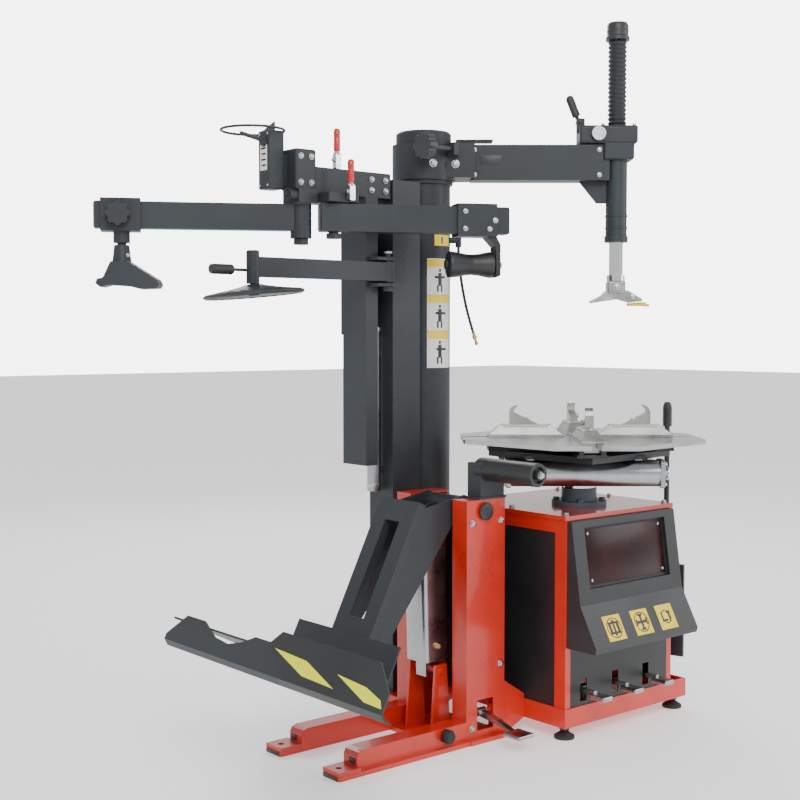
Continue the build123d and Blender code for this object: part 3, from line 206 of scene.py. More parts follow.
def surface(name, light, dark, smooth, rough, metallic=0.0, coat=0.0, patch=5.0, grain=700.0,
            depth=0.00015, edge=0.0012, worn=None, worn_amount=0.6, stretch=(1, 1, 1), turn=(0, 0, 0),
            specular=0.5):
    """A finish: uneven colour and gloss, fine grain, soft edges and, where given, worn edges."""
    finish = bpy.data.materials.new(name)
    finish.use_nodes = True
    tree = finish.node_tree
    shader = tree.nodes["Principled BSDF"]
    shader.inputs["Metallic"].default_value = metallic
    shader.inputs["Coat Weight"].default_value = coat
    shader.inputs["Coat Roughness"].default_value = 0.08
    shader.inputs["Specular IOR Level"].default_value = specular
    place = tree.nodes.new("ShaderNodeTexCoord")
    laid = tree.nodes.new("ShaderNodeMapping")
    laid.inputs["Scale"].default_value = stretch
    laid.inputs["Rotation"].default_value = [math.radians(a) for a in turn]
    uneven = tree.nodes.new("ShaderNodeGroup")
    uneven.node_tree = UNEVEN
    uneven.inputs["Light"].default_value = (*light, 1)
    uneven.inputs["Dark"].default_value = (*dark, 1)
    uneven.inputs["Patch Scale"].default_value = patch
    uneven.inputs["Grain Scale"].default_value = grain
    uneven.inputs["Smooth"].default_value = smooth
    uneven.inputs["Rough"].default_value = rough
    rounded = tree.nodes.new("ShaderNodeBevel")
    rounded.samples = 4
    rounded.inputs["Radius"].default_value = edge
    bump = tree.nodes.new("ShaderNodeBump")
    bump.inputs["Strength"].default_value = 0.6
    bump.inputs["Distance"].default_value = depth
    links = tree.links
    links.new(place.outputs["Object"], laid.inputs["Vector"])
    links.new(laid.outputs["Vector"], uneven.inputs["Vector"])
    links.new(uneven.outputs["Height"], bump.inputs["Height"])
    links.new(rounded.outputs["Normal"], bump.inputs["Normal"])
    links.new(bump.outputs["Normal"], shader.inputs["Normal"])
    links.new(uneven.outputs["Roughness"], shader.inputs["Roughness"])
    colour = uneven.outputs["Color"]
    if worn is not None:
        wear = tree.nodes.new("ShaderNodeGroup")
        wear.node_tree = EDGE_WEAR
        wear.inputs["Amount"].default_value = worn_amount
        bare = tree.nodes.new("ShaderNodeMix")
        bare.data_type = "RGBA"
        bare.inputs["B"].default_value = (*worn, 1)
        links.new(place.outputs["Object"], wear.inputs["Vector"])
        links.new(rounded.outputs["Normal"], wear.inputs["Rounded"])
        links.new(wear.outputs["Mask"], bare.inputs["Factor"])
        links.new(colour, bare.inputs["A"])
        colour = bare.outputs["Result"]
    links.new(colour, shader.inputs["Base Color"])
    return finish


def wear_on(finish, *names):
    """Give CAD nodes their finish."""
    for name in names:
        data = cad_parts[name].data
        data.materials.clear()
        data.materials.append(finish)


def hose_line(name, points, diameter, finish, body):
    """A smooth round hose along its route."""
    line = bpy.data.curves.new(name, "CURVE")
    line.dimensions = "3D"
    line.bevel_depth = diameter / 2000
    line.bevel_resolution = 4
    line.resolution_u = 12
    line.use_fill_caps = True
    spline = line.splines.new("NURBS")
    spline.points.add(len(points) - 1)
    for point, spot in zip(spline.points, points):
        point.co = (*at(*spot), 1)
    spline.order_u = 3
    spline.use_endpoint_u = True
    hose = bpy.data.objects.new(name, line)
    bpy.context.scene.collection.objects.link(hose)
    line.materials.append(finish)
    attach(hose, body)
    return hose


hose_rubber = surface("hose_rubber", (0.022, 0.022, 0.024), (0.012, 0.012, 0.013), 0.35, 0.5,
                      grain=1500, depth=0.0001, edge=0.0002)
gun_hose = hose_line("gun_hose", [(-119.6, 381.5, 1352), (-119.6, 381.5, 1318), (-114, 377, 1262),
                                  (-106, 371, 1202), (-95, 362.5, 1142), (-83, 353, 1092)],
                     9, hose_rubber, "frame")
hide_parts("air_hose")
hose_brass = surface("hose_brass", (0.72, 0.5, 0.2), (0.5, 0.33, 0.12), 0.22, 0.42, metallic=1.0, edge=0.0004)


def turned(name, profile, foot, direction, finish, body, sides=48, bevel=0.0):
    """A lathe-turned piece: a disc pushed out along its axis and resized, step by step."""
    bpy.ops.object.select_all(action="DESELECT")
    first_radius, first_height = profile[0]
    bpy.ops.mesh.primitive_circle_add(vertices=sides, radius=first_radius / 1000, fill_type="NGON",
                                      location=(0, 0, first_height / 1000))
    piece = bpy.context.object
    piece.name = name
    bpy.ops.object.transform_apply(location=True, rotation=True, scale=True)
    bpy.ops.object.mode_set(mode="EDIT")
    bpy.ops.mesh.select_all(action="SELECT")
    last_radius, last_height = profile[0]
    for radius, height in profile[1:]:
        bpy.ops.mesh.extrude_region_move(
            TRANSFORM_OT_translate={"value": (0, 0, (height - last_height) / 1000)})
        grow = radius / last_radius
        bpy.ops.transform.resize(value=(grow, grow, 1), center_override=(0, 0, 0))
        last_radius, last_height = radius, height
    bpy.ops.mesh.select_all(action="SELECT")
    bpy.ops.mesh.normals_make_consistent(inside=False)
    bpy.ops.object.mode_set(mode="OBJECT")
    return finished(piece, foot, direction, finish, body, bevel)


def finished(piece, foot, direction, finish, body, bevel=0.0, spin=0.0):
    """Soften the edges, turn the piece to its direction, set it in place and hang it on its body."""
    bpy.ops.object.select_all(action="DESELECT")
    piece.select_set(True)
    bpy.context.view_layer.objects.active = piece
    if bevel:
        soft = piece.modifiers.new("soft_edges", "BEVEL")
        soft.width = bevel / 1000
        soft.segments = 2
        soft.angle_limit = math.radians(40)
        bpy.ops.object.modifier_apply(modifier=soft.name)
    bpy.ops.object.shade_smooth_by_angle(angle=math.radians(38))
    upright = Vector(direction).to_track_quat("Z", "Y").to_matrix().to_4x4()
    piece.rotation_mode = "QUATERNION"
    piece.rotation_quaternion = (upright @ Matrix.Rotation(math.radians(spin), 4, "Z")).to_quaternion()
    piece.location = at(*foot)
    bpy.ops.object.transform_apply(location=True, rotation=True, scale=True)
    piece.data.materials.append(finish)
    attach(piece, body)
    return piece


hose_coupling = turned("hose_coupling", [(5.4, 0), (5.4, 10), (7.2, 11), (7.2, 19), (4.4, 20), (4.4, 30),
                                         (6, 31), (6, 37), (3, 40)],
                       (-84, 353.7, 1097), (0.23, -0.17, -0.96), hose_brass, "frame", 24)

coil_low, coil_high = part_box("coil_hose")
COIL_TURNS = 58
COIL_POINTS = 12
coil_middle = (coil_low + coil_high) / 2
coil_radius = (coil_high.x - coil_low.x) / 2 - 0.0036
coil_line = bpy.data.curves.new("spiral_hose", "CURVE")
coil_line.dimensions = "3D"
coil_line.bevel_depth = 0.0032
coil_line.bevel_resolution = 2
coil_line.resolution_u = 2
coil_line.use_fill_caps = True
coil_spline = coil_line.splines.new("NURBS")
coil_spline.points.add(COIL_TURNS * COIL_POINTS)
for step, point in enumerate(coil_spline.points):
    along = step / (COIL_TURNS * COIL_POINTS)
    angle = 2 * math.pi * step / COIL_POINTS
    sag = 0.0012 * math.sin(9 * along)
    point.co = (coil_middle.x + (coil_radius + sag) * math.cos(angle),
                coil_middle.y + (coil_radius + sag) * math.sin(angle),
                coil_high.z - 0.004 - along * (coil_high.z - coil_low.z - 0.008), 1)
coil_spline.order_u = 3
coil_spline.use_endpoint_u = True
spiral_hose = bpy.data.objects.new("spiral_hose", coil_line)
bpy.context.scene.collection.objects.link(spiral_hose)
coil_line.materials.append(hose_rubber)
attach(spiral_hose, "frame")
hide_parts("coil_hose")


# ---- Cabinet ------------------------------------------------------------
# Welded sheet-steel cabinet in gloss red enamel with thin black sheets let into its sides,
# standing on rubber feet. The lid is a thick red plate, bolted down through its flange.
red_enamel = surface("red_enamel", (0.66, 0.026, 0.008), (0.5, 0.017, 0.006), 0.24, 0.4, coat=0.35, patch=3.0,
                     grain=420, depth=0.0003, edge=0.0016, worn=(0.78, 0.2, 0.12), worn_amount=0.5)
red_lid = surface("red_lid", (0.62, 0.026, 0.009), (0.47, 0.018, 0.007), 0.1, 0.26, coat=0.8, patch=4.0,
                  grain=380, depth=0.0002, edge=0.0016, worn=(0.78, 0.2, 0.12), worn_amount=0.5)
black_sheet = surface("black_sheet", (0.018, 0.02, 0.022), (0.009, 0.01, 0.011), 0.32, 0.5, patch=4,
                      grain=500, depth=0.0003, edge=0.001, worn=(0.06, 0.06, 0.065), worn_amount=0.4)
cover_plastic = surface("cover_plastic", (0.024, 0.027, 0.03), (0.014, 0.016, 0.018), 0.36, 0.56, patch=4,
                        grain=900, depth=0.0003, edge=0.0022, worn=(0.07, 0.075, 0.08), worn_amount=0.35)
foot_rubber = surface("foot_rubber", (0.03, 0.03, 0.03), (0.014, 0.014, 0.014), 0.6, 0.85, grain=800,
                      depth=0.0003, edge=0.0015)
gear_paint = surface("gear_paint", (0.11, 0.14, 0.17), (0.06, 0.08, 0.1), 0.35, 0.6, patch=7, grain=300,
                     depth=0.0006, edge=0.002, worn=(0.3, 0.32, 0.33), worn_amount=0.5)
cylinder_skin = surface("cylinder_skin", (0.45, 0.46, 0.48), (0.3, 0.31, 0.33), 0.22, 0.4, metallic=1.0,
                        patch=9, grain=500, depth=0.0001, edge=0.001)
pedal_casting = surface("pedal_casting", (0.5, 0.51, 0.53), (0.28, 0.29, 0.3), 0.2, 0.42, metallic=1.0,
                        patch=22, grain=350, depth=0.0005, edge=0.0022)
zinc = surface("zinc", (0.62, 0.63, 0.64), (0.42, 0.43, 0.43), 0.2, 0.42, metallic=1.0, patch=30,
               grain=900, depth=0.0002, edge=0.0005)
wear_on(red_enamel, "cabinet_frame", "lift_base", "lift_uprights", "column_base")
wear_on(red_lid, "top_plate")
wear_on(black_sheet, "side_panels", "pedal_panel")
wear_on(cover_plastic, "front_cover")
wear_on(foot_rubber, "leveling_feet")
wear_on(gear_paint, "drive_motor", "gearbox")
wear_on(cylinder_skin, "bead_cylinder")
wear_on(pedal_casting, "pedal_1", "pedal_2", "pedal_3", "lift_pedal")


def hex_bolt(name, foot, direction, across, finish, body, spin=0.0):
    """Hexagon-headed bolt on its washer, chamfered round the top of the head."""
    height = across * 0.42
    washer = across * 0.72
    bpy.ops.object.select_all(action="DESELECT")
    bpy.ops.mesh.primitive_cylinder_add(vertices=6, radius=across / 1732, depth=height / 1000,
                                        location=(0, 0, (1.6 + height / 2) / 1000))
    head = bpy.context.object
    bpy.ops.object.transform_apply(location=True, rotation=True, scale=True)
    bpy.ops.object.mode_set(mode="EDIT")
    bpy.ops.mesh.select_all(action="DESELECT")
    mesh = bmesh.from_edit_mesh(head.data)
    for face in mesh.faces:
        face.select = face.normal.z > 0.9
    bmesh.update_edit_mesh(head.data)
    bpy.ops.mesh.inset(thickness=across / 9000)
    bpy.ops.transform.translate(value=(0, 0, across / 12000))
    bpy.ops.object.mode_set(mode="OBJECT")
    bpy.ops.mesh.primitive_cylinder_add(vertices=24, radius=washer / 1000, depth=0.0016,
                                        location=(0, 0, 0.0008))
    head.select_set(True)
    bpy.context.view_layer.objects.active = head
    bpy.ops.object.join()
    head.name = name
    return finished(head, foot, direction, finish, body, 0.25, spin)


def tile(name, corners, thickness, finish, body, bevel=0.4):
    """A thin plate from its corners, given round the outward face, pushed out by its thickness."""
    bpy.ops.object.select_all(action="DESELECT")
    bpy.ops.mesh.primitive_circle_add(vertices=len(corners), radius=0.01, fill_type="NGON",
                                      location=(0, 0, 0))
    piece = bpy.context.object
    piece.name = name
    spots = [at(*corner) for corner in corners]
    for vertex, spot in zip(piece.data.vertices, spots):
        vertex.co = spot
    piece.data.update()
    normal = (spots[1] - spots[0]).cross(spots[2] - spots[1]).normalized()
    bpy.ops.object.mode_set(mode="EDIT")
    bpy.ops.mesh.select_all(action="SELECT")
    bpy.ops.mesh.extrude_region_move(TRANSFORM_OT_translate={"value": tuple(normal * thickness / 1000)})
    bpy.ops.mesh.select_all(action="SELECT")
    bpy.ops.mesh.normals_make_consistent(inside=False)
    bpy.ops.object.mode_set(mode="OBJECT")
    soft = piece.modifiers.new("soft_edges", "BEVEL")
    soft.width = min(bevel, thickness * 0.45) / 1000
    soft.segments = 2
    soft.limit_method = "ANGLE"
    bpy.ops.object.modifier_apply(modifier=soft.name)
    bpy.ops.object.shade_smooth_by_angle(angle=math.radians(30))
    piece.data.materials.append(finish)
    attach(piece, body)
    return piece


for count, (x, y) in enumerate(((-205, -140), (205, -140), (-205, 275), (205, 275), (-205, 65), (205, 65))):
    hex_bolt(f"lid_bolt_{count + 1}", (x, y, 607), (0, 0, 1), 13, zinc, "frame", 15 * count)
for count, (x, y) in enumerate(((-198, -132), (262, -132), (-198, 272), (262, 272))):
    turned(f"foot_rim_{count + 1}", [(26.5, 0), (28.2, 1.5), (28.2, 6.0), (26.0, 8.4), (13, 10.4),
                                      (12.2, 12)],
           (x, y, 0.2), (0, 0, 1), foot_rubber, "frame", 40)

# ---- Window and pictograms on the front cover -----------------------------
# A dark blank window lies in the recess behind four screws. Below it, three yellow labels
# with plain pictograms tell the pedals apart.
window_red = surface("window_red", (0.03, 0.002, 0.003), (0.008, 0.001, 0.002), 0.2, 0.34, coat=0.05,
                     specular=0.25, patch=7,
                     grain=200, depth=0.00005, edge=0.0005)
label_yellow = surface("label_yellow", (0.95, 0.68, 0.002), (0.88, 0.6, 0.002), 0.34, 0.46,
                       coat=0.15, patch=12,
                       grain=600, depth=0.00008, edge=0.0004)
label_black = surface("label_black", (0.012, 0.012, 0.012), (0.006, 0.006, 0.006), 0.3, 0.45, grain=600,
                      depth=0.00008, edge=0.0004)
WINDOW_LEAN = math.degrees(math.atan(33 / 221))
APRON_LEAN = math.degrees(math.atan(57 / 106))


def on_window(x, up, out):
    """Point on the recess floor: millimetres across, up the slope and out of it."""
    lean = math.radians(WINDOW_LEAN)
    return (x - 4, -174.9 + up * math.sin(lean) - out * math.cos(lean),
            493 + up * math.cos(lean) + out * math.sin(lean))


def on_apron(x, up, out):
    """Point on the flared apron, up from the middle of the labels and out of the face."""
    lean = math.radians(APRON_LEAN)
    return (x, -239.5 + up * math.sin(lean) - out * math.cos(lean),
            308 + up * math.cos(lean) + out * math.sin(lean))


tile("cover_window", [on_window(-160, -75, 0.2), on_window(160, -75, 0.2), on_window(160, 75, 0.2),
                      on_window(-160, 75, 0.2)], 2.2, window_red, "frame", 0.8)
window_out = tuple(Vector(on_window(0, 0, 1)) - Vector(on_window(0, 0, 0)))
for count, (x, up) in enumerate(((-148, -63), (148, -63), (148, 63), (-148, 63))):
    turned(f"window_screw_{count + 1}", [(4.4, 0), (4.4, 0.8), (3.6, 2.0), (1.6, 2.6), (1.2, 1.4)],
           on_window(x, up, 2.3), window_out, zinc, "frame", 24)

TILE_HALF = 35
BAR_SETS = {
    1: ((-15, 0, 5, 17), (15, 0, 5, 17), (0, 14, 13, 3), (0, -14, 13, 3), (0, 0, 4, 22)),
    2: ((0, 0, 4, 19), (0, 0, 19, 4), (0, 20, 9, 3), (0, -20, 9, 3), (20, 0, 3, 9), (-20, 0, 3, 9)),
    3: ((-8, -10, 12, 3), (12, 12, 8, 3), (12, -2, 3, 14), (-16, 2, 3, 13)),
}
for number, x in ((1, -122), (2, -9), (3, 96)):
    tile(f"pedal_label_{number}",
         [on_apron(x + a * TILE_HALF, b * TILE_HALF, 0.1) for a, b in ((-1, -1), (1, -1), (1, 1), (-1, 1))],
         0.9, label_yellow, "frame", 0.3)
    for part, (u, v, wide, tall) in enumerate(BAR_SETS[number]):
        tile(f"pedal_sign_{number}_{part + 1}",
             [on_apron(x + u + a * wide, v + b * tall, 1.0 + 0.03 * part)
              for a, b in ((-1, -1), (1, -1), (1, 1), (-1, 1))], 0.4, label_black, "frame", 0.15)
    ring_out = tuple(Vector(on_apron(0, 0, 1)) - Vector(on_apron(0, 0, 0)))
    bpy.ops.object.select_all(action="DESELECT")
    bpy.ops.mesh.primitive_torus_add(major_radius=0.027 if number != 3 else 0.018, minor_radius=0.0016,
                                     major_segments=48, minor_segments=8)
    sign_ring = bpy.context.object
    sign_ring.name = f"pedal_sign_ring_{number}"
    sign_ring.scale = (1, 1, 0.35)
    bpy.ops.object.transform_apply(location=True, rotation=True, scale=True)
    finished(sign_ring, on_apron(x, 0, 1.0), ring_out, label_black, "frame")


# ---- Bead breaker and tyre lever on the right side -----------------------
# A hinged steel bar with a curved shovel blade and an upright handle with a plastic grip.
dark_paint = surface("dark_paint", (0.032, 0.038, 0.044), (0.02, 0.024, 0.028), 0.42, 0.6,
                     coat=0.05, specular=0.35, patch=3.5,
                     grain=520, depth=0.0004, edge=0.0014, worn=(0.12, 0.13, 0.14), worn_amount=0.45)
wear_on(dark_paint, "bead_arm", "column", "guide_post", "helper_mast", "helper_beam", "control_box",
        "swing_arm", "lock_housing", "foot_arm", "foot_block", "press_foot", "roller_arm", "roller_block",
        "disc_arm", "lift_disc", "lift_arm", "tray_rear", "roller_post")
grip_plastic = surface("grip_plastic", (0.03, 0.032, 0.036), (0.016, 0.018, 0.02), 0.3, 0.5, patch=14,
                       grain=1200, depth=0.0003, edge=0.001)
handle_grip_rings = [(13.6, 0)]
for ring in range(9):
    handle_grip_rings += [(14.3, 2 + ring * 6.4), (14.3, 5.2 + ring * 6.4), (13.3, 6.0 + ring * 6.4),
                          (13.3, 7.6 + ring * 6.4)]
turned("breaker_grip", handle_grip_rings + [(13.0, 61.5), (12.7, 62.6)], (386, -7, 812.5), (0, 0, 1),
       grip_plastic, "bead_arm_body", 32)


# ---- Turntable ------------------------------------------------------------
# Octagonal plate of ground and polished steel on its black carrier, two aluminium air
# cylinders below, and four ground jaws with hooked claws.
def ground_steel(name, light, dark, smooth, rough, rings, depth, finish_edge=0.0012):
    """Steel with the fine rings of a lathe or grinder about the turntable's axis."""
    finish = surface(name, light, dark, smooth, rough, metallic=1.0, patch=5, grain=420, depth=0.00008,
                     edge=finish_edge)
    tree = finish.node_tree
    place = next(n for n in tree.nodes if n.type == "TEX_COORD")
    shader = tree.nodes["Principled BSDF"]
    centred = tree.nodes.new("ShaderNodeMapping")
    centred.inputs["Location"].default_value = (-AXIS_X, -AXIS_Y, 0)
    circles = tree.nodes.new("ShaderNodeTexWave")
    circles.wave_type = "RINGS"
    circles.rings_direction = "Z"
    circles.inputs["Scale"].default_value = rings
    circles.inputs["Distortion"].default_value = 1.2
    circles.inputs["Detail"].default_value = 3
    circles.inputs["Detail Scale"].default_value = 2.5
    bump = tree.nodes.new("ShaderNodeBump")
    bump.inputs["Strength"].default_value = 0.25
    bump.inputs["Distance"].default_value = depth
    under = next(n for n in tree.nodes if n.type == "BUMP" and n is not bump)
    tree.links.new(place.outputs["Object"], centred.inputs["Vector"])
    tree.links.new(centred.outputs["Vector"], circles.inputs["Vector"])
    tree.links.new(circles.outputs["Fac"], bump.inputs["Height"])
    tree.links.new(under.outputs["Normal"], bump.inputs["Normal"])
    tree.links.new(bump.outputs["Normal"], shader.inputs["Normal"])
    return finish


table_steel = ground_steel("table_steel", (0.6, 0.61, 0.62), (0.38, 0.39, 0.4), 0.14, 0.3, 160, 0.00004)
jaw_steel = surface("jaw_steel", (0.5, 0.49, 0.46), (0.27, 0.27, 0.26), 0.24, 0.42, metallic=1.0, patch=14,
                    grain=600, depth=0.0002, edge=0.0016)
chrome = surface("chrome", (0.8, 0.81, 0.83), (0.68, 0.69, 0.71), 0.06, 0.16, metallic=1.0, patch=8,
                 grain=300, depth=0.00004, edge=0.0008)
carrier_black = surface("carrier_black", (0.03, 0.032, 0.035), (0.014, 0.015, 0.017), 0.34, 0.52, patch=6,
                        grain=400, depth=0.0004, edge=0.0014, worn=(0.1, 0.1, 0.1))
inlay_cream = surface("inlay_cream", (0.72, 0.68, 0.54), (0.56, 0.52, 0.4), 0.35, 0.5, patch=20, grain=700,
                      depth=0.0002, edge=0.0006)
wear_on(table_steel, "table_plate")
wear_on(jaw_steel, "jaw_1", "jaw_2", "jaw_3", "jaw_4")
wear_on(chrome, "spindle")
wear_on(carrier_black, "carrier")
wear_on(cylinder_skin, "clamp_cylinders")
TABLE_TURN = -40


def round_axis(x, y, z, turn, centre=(0, 0)):
    """A point turned about an upright axis."""
    c, s = math.cos(math.radians(turn)), math.sin(math.radians(turn))
    return (centre[0] + x * c - y * s, centre[1] + x * s + y * c, z)


for number, body in enumerate(("jaw_one", "jaw_two", "jaw_three", "jaw_four")):
    turn = TABLE_TURN + 90 * number
    for side in (-1, 1):
        inlay = [(92, side * 14), (220, side * 14), (220, side * 21), (92, side * 21)]
        if side < 0:
            inlay.reverse()
        tile(f"jaw_inlay_{number + 1}_{'left' if side < 0 else 'right'}",
             [round_axis(x, y, 828, turn) for x, y in inlay], 6.8, inlay_cream, body, 1.2)
    hex_bolt(f"claw_bolt_{number + 1}", round_axis(152, -11, 850, turn),
             round_axis(0, -1, 0, turn), 12, zinc, body)
    for reach in (120, 212):
        turned(f"jaw_screw_{number + 1}_{reach}", [(5.2, 0), (5.2, 2.6), (4.6, 3.4), (2.8, 3.4), (2.6, 1.6)],
               round_axis(reach - 34 if reach == 120 else reach + 6, 0, 833.5, turn), (0, 0, 1), zinc,
               body, 24)
for count, (along, side) in enumerate(((1, -1), (1, 1), (-1, -1), (-1, 1))):
    spot = round_axis(along * 230.5, side * 100, 706, TABLE_TURN)
    way = round_axis(along, 0, 0, TABLE_TURN)
    turned(f"cylinder_gland_{count + 1}", [(20, 0), (20, 2.5), (18.6, 3.4), (13.6, 3.4), (13, 4.6), (8, 4.6),
                                           (7.4, 2.2)], spot, way,
           chrome if along > 0 else zinc, "turntable", 40)
    for pin, (du, dv) in enumerate(((-28, -28), (28, -28), (-28, 28), (28, 28))):
        nut = round_axis(along * 219, side * 100 + du, 706 + dv, TABLE_TURN)
        hex_bolt(f"tie_nut_{count + 1}_{pin + 1}", nut, way, 9, zinc, "turntable", 10 * pin)
turned("table_hub_cap", [(15.5, 0), (15.5, 7), (14, 9.5), (9, 11), (6.5, 11), (6.2, 6)], (0, 0, 789),
       (0, 0, 1),
       zinc, "turntable", 40)


# ---- Column and swing arm ---------------------------------------------------
# Heavy round column in dark grey powder coat with a hinged box arm, and the locking head
# that holds the hexagonal tool shaft under its rubber bellows.
bellows_rubber = surface("bellows_rubber", (0.026, 0.027, 0.03), (0.012, 0.013, 0.014), 0.42, 0.62, grain=900,
                         depth=0.0002, edge=0.0006)
cast_steel = surface("cast_steel", (0.48, 0.48, 0.48), (0.27, 0.27, 0.27), 0.3, 0.5, metallic=1.0, patch=22,
                     grain=420, depth=0.0006, edge=0.002)
insert_yellow = surface("insert_yellow", (0.95, 0.66, 0.004), (0.86, 0.56, 0.003), 0.28, 0.42, grain=500,
                        depth=0.0002, edge=0.001)
label_white = surface("label_white", (0.82, 0.82, 0.8), (0.74, 0.74, 0.72), 0.3, 0.42, coat=0.3, grain=600,
                      depth=0.00006, edge=0.0004)
wear_on(bellows_rubber, "shaft_bellows")
wear_on(chrome, "tool_shaft")
wear_on(cast_steel, "mount_head")
wear_on(insert_yellow, "head_insert")
wear_on(grip_plastic, "lock_lever", "stop_knob", "joystick")
COLUMN = (-200, 449)
ARM_TURN = -40


def wrap(name, radius, start, sweep, low, high, thickness, finish, centre, body):
    """A thin curved plate: an upright strip spun round a centre."""
    bpy.ops.object.select_all(action="DESELECT")
    width = radius * math.radians(sweep) / 24
    bpy.ops.mesh.primitive_cube_add(size=1, location=((radius + thickness / 2) / 1000, 0, 0))
    piece = bpy.context.object
    piece.name = name
    piece.scale = (thickness / 1000, width / 1000, (high - low) / 1000)
    bpy.ops.object.transform_apply(location=True, rotation=True, scale=True)
    bpy.ops.object.mode_set(mode="EDIT")
    bpy.ops.mesh.select_all(action="DESELECT")
    mesh = bmesh.from_edit_mesh(piece.data)
    for face in mesh.faces:
        face.select = face.normal.y < -0.9
    bmesh.update_edit_mesh(piece.data)
    bpy.ops.mesh.spin(steps=20, angle=math.radians(sweep), center=(0, 0, 0), axis=(0, 0, 1))
    bpy.ops.mesh.select_all(action="SELECT")
    bpy.ops.mesh.remove_doubles(threshold=0.00001)
    bpy.ops.mesh.normals_make_consistent(inside=False)
    bpy.ops.object.mode_set(mode="OBJECT")
    bpy.ops.object.shade_smooth_by_angle(angle=math.radians(30))
    piece.rotation_euler = (0, 0, math.radians(start + sweep))
    piece.location = at(centre[0], centre[1], (low + high) / 2)
    bpy.ops.object.transform_apply(location=True, rotation=True, scale=True)
    piece.data.materials.append(finish)
    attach(piece, body)
    return piece


for number, (low, high) in enumerate(((1212, 1302), (1106, 1196), (1000, 1090))):
    wrap(f"column_label_{number + 1}", 80.2, 238, 60, low - 8, high + 12, 0.5, label_white, COLUMN, "frame")
    wrap(f"column_label_band_{number + 1}", 80.75, 239, 58, high - 12, high + 10, 0.25, label_yellow, COLUMN,
         "frame")
    wrap(f"column_sign_body_{number + 1}", 80.75, 262, 9, low + 22, high - 30, 0.3, label_black, COLUMN,
         "frame")
    wrap(f"column_sign_head_{number + 1}", 80.75, 264, 5, high - 27, high - 18, 0.3, label_black, COLUMN,
         "frame")
    wrap(f"column_sign_arm_{number + 1}", 80.75, 254 + 2 * number, 26, low + 44, low + 51, 0.3, label_black,
         COLUMN, "frame")
    wrap(f"column_sign_leg_{number + 1}", 80.75, 259, 4, low + 4, low + 24, 0.3, label_black, COLUMN, "frame")
    wrap(f"column_sign_leg_far_{number + 1}", 80.75, 269, 4, low + 4, low + 24, 0.3, label_black, COLUMN,
         "frame")
wrap("column_triangle_plate", 80.2, 254, 42, 1352, 1384, 0.5, label_yellow, COLUMN, "frame")
wrap("column_triangle_bar", 80.75, 270, 4, 1358, 1378, 0.3, label_black, COLUMN, "frame")


def on_arm(x, y, z):
    """A point on the swing arm, along it and across it from the column's axis."""
    return round_axis(x, y, z, ARM_TURN, COLUMN)


arm_front = round_axis(0, -1, 0, ARM_TURN)
hex_bolt("cheek_bolt_1", on_arm(27, -89, 1591), round_axis(27, -89, 0, ARM_TURN), 17, zinc, "swing_arm_body")
hex_bolt("cheek_bolt_2", on_arm(93, -64, 1591), arm_front, 17, zinc, "swing_arm_body")
mark = [(166, 1598), (170, 1594), (228, 1594), (233, 1598), (233, 1616), (228, 1620), (170, 1620),
        (166, 1616)]
tile("arm_mark_plate", [on_arm(x, -40.05, z) for x, z in mark], 0.7, grip_plastic, "swing_arm_body")
for count, x in enumerate((150, 520)):
    for level in (1562, 1636):
        hex_bolt(f"arm_bolt_{count + 1}_{level}", on_arm(x, -40, level), arm_front, 10, zinc,
                 "swing_arm_body")
turned("column_cap_screw", [(9, 0), (9, 4), (7.5, 6), (4, 6), (3.6, 2.5)], (-200, 449, 1689.5),
       (0, 0, 1), zinc,
       "frame", 32)
for end in (-1, 1):
    turned(f"lock_cylinder_lid_{'front' if end < 0 else 'back'}",
           [(21.4, 0), (21.4, 3), (19.8, 5), (15, 5), (14.4, 3.4), (6, 3.4), (5.4, 5)],
           on_arm(515, 57.8 * end, 1682), round_axis(0, end, 0, ARM_TURN), zinc, "swing_arm_body", 40)
for count, (x, y) in enumerate(((530, -38), (530, 38), (622, -38), (622, 38))):
    turned(f"housing_screw_{count + 1}", [(5.5, 0), (5.5, 4.5), (4.7, 5.3), (2.7, 5.3), (2.4, 2.8)],
           on_arm(x, y, 1707.6), (0, 0, 1), zinc, "swing_arm_body", 24)
for level in (1404, 1440):
    turned(f"guide_band_{level}", [(31.6, 0), (33.2, 1), (33.2, 7), (31.6, 8)], on_arm(577, 0, level),
           (0, 0, 1),
           dark_paint, "swing_arm_body", 56)
hex_bolt("head_clamp_bolt", on_arm(577, -26, 1232), arm_front, 13, zinc, "tool_shaft_body")
hex_bolt("beak_bolt", on_arm(625, -24, 1204), arm_front, 11, zinc, "tool_shaft_body")


# ---- Helper unit ------------------------------------------------------------
# Mast, beam and three swinging helper arms in the same grey powder coat. Two hand valves
# with red grips stand on them, and the control box carries a guarded lever.
red_grip = surface("red_grip", (0.6, 0.02, 0.015), (0.48, 0.012, 0.01), 0.18, 0.3, coat=0.5, patch=15,
                   grain=700, depth=0.0001, edge=0.001)
roller_rubber = surface("roller_rubber", (0.024, 0.025, 0.027), (0.012, 0.012, 0.013), 0.34, 0.55, patch=12,
                        grain=700, depth=0.0003, edge=0.0014)
plug_grey = surface("plug_grey", (0.55, 0.56, 0.57), (0.42, 0.43, 0.44), 0.4, 0.55, patch=18, grain=800,
                    depth=0.0003, edge=0.001)
wear_on(cylinder_skin, "helper_cylinder", "lift_barrel")
wear_on(chrome, "helper_rod", "lift_rod", "beam_latch", "arm_latch")
wear_on(roller_rubber, "press_roller", "guide_roller")
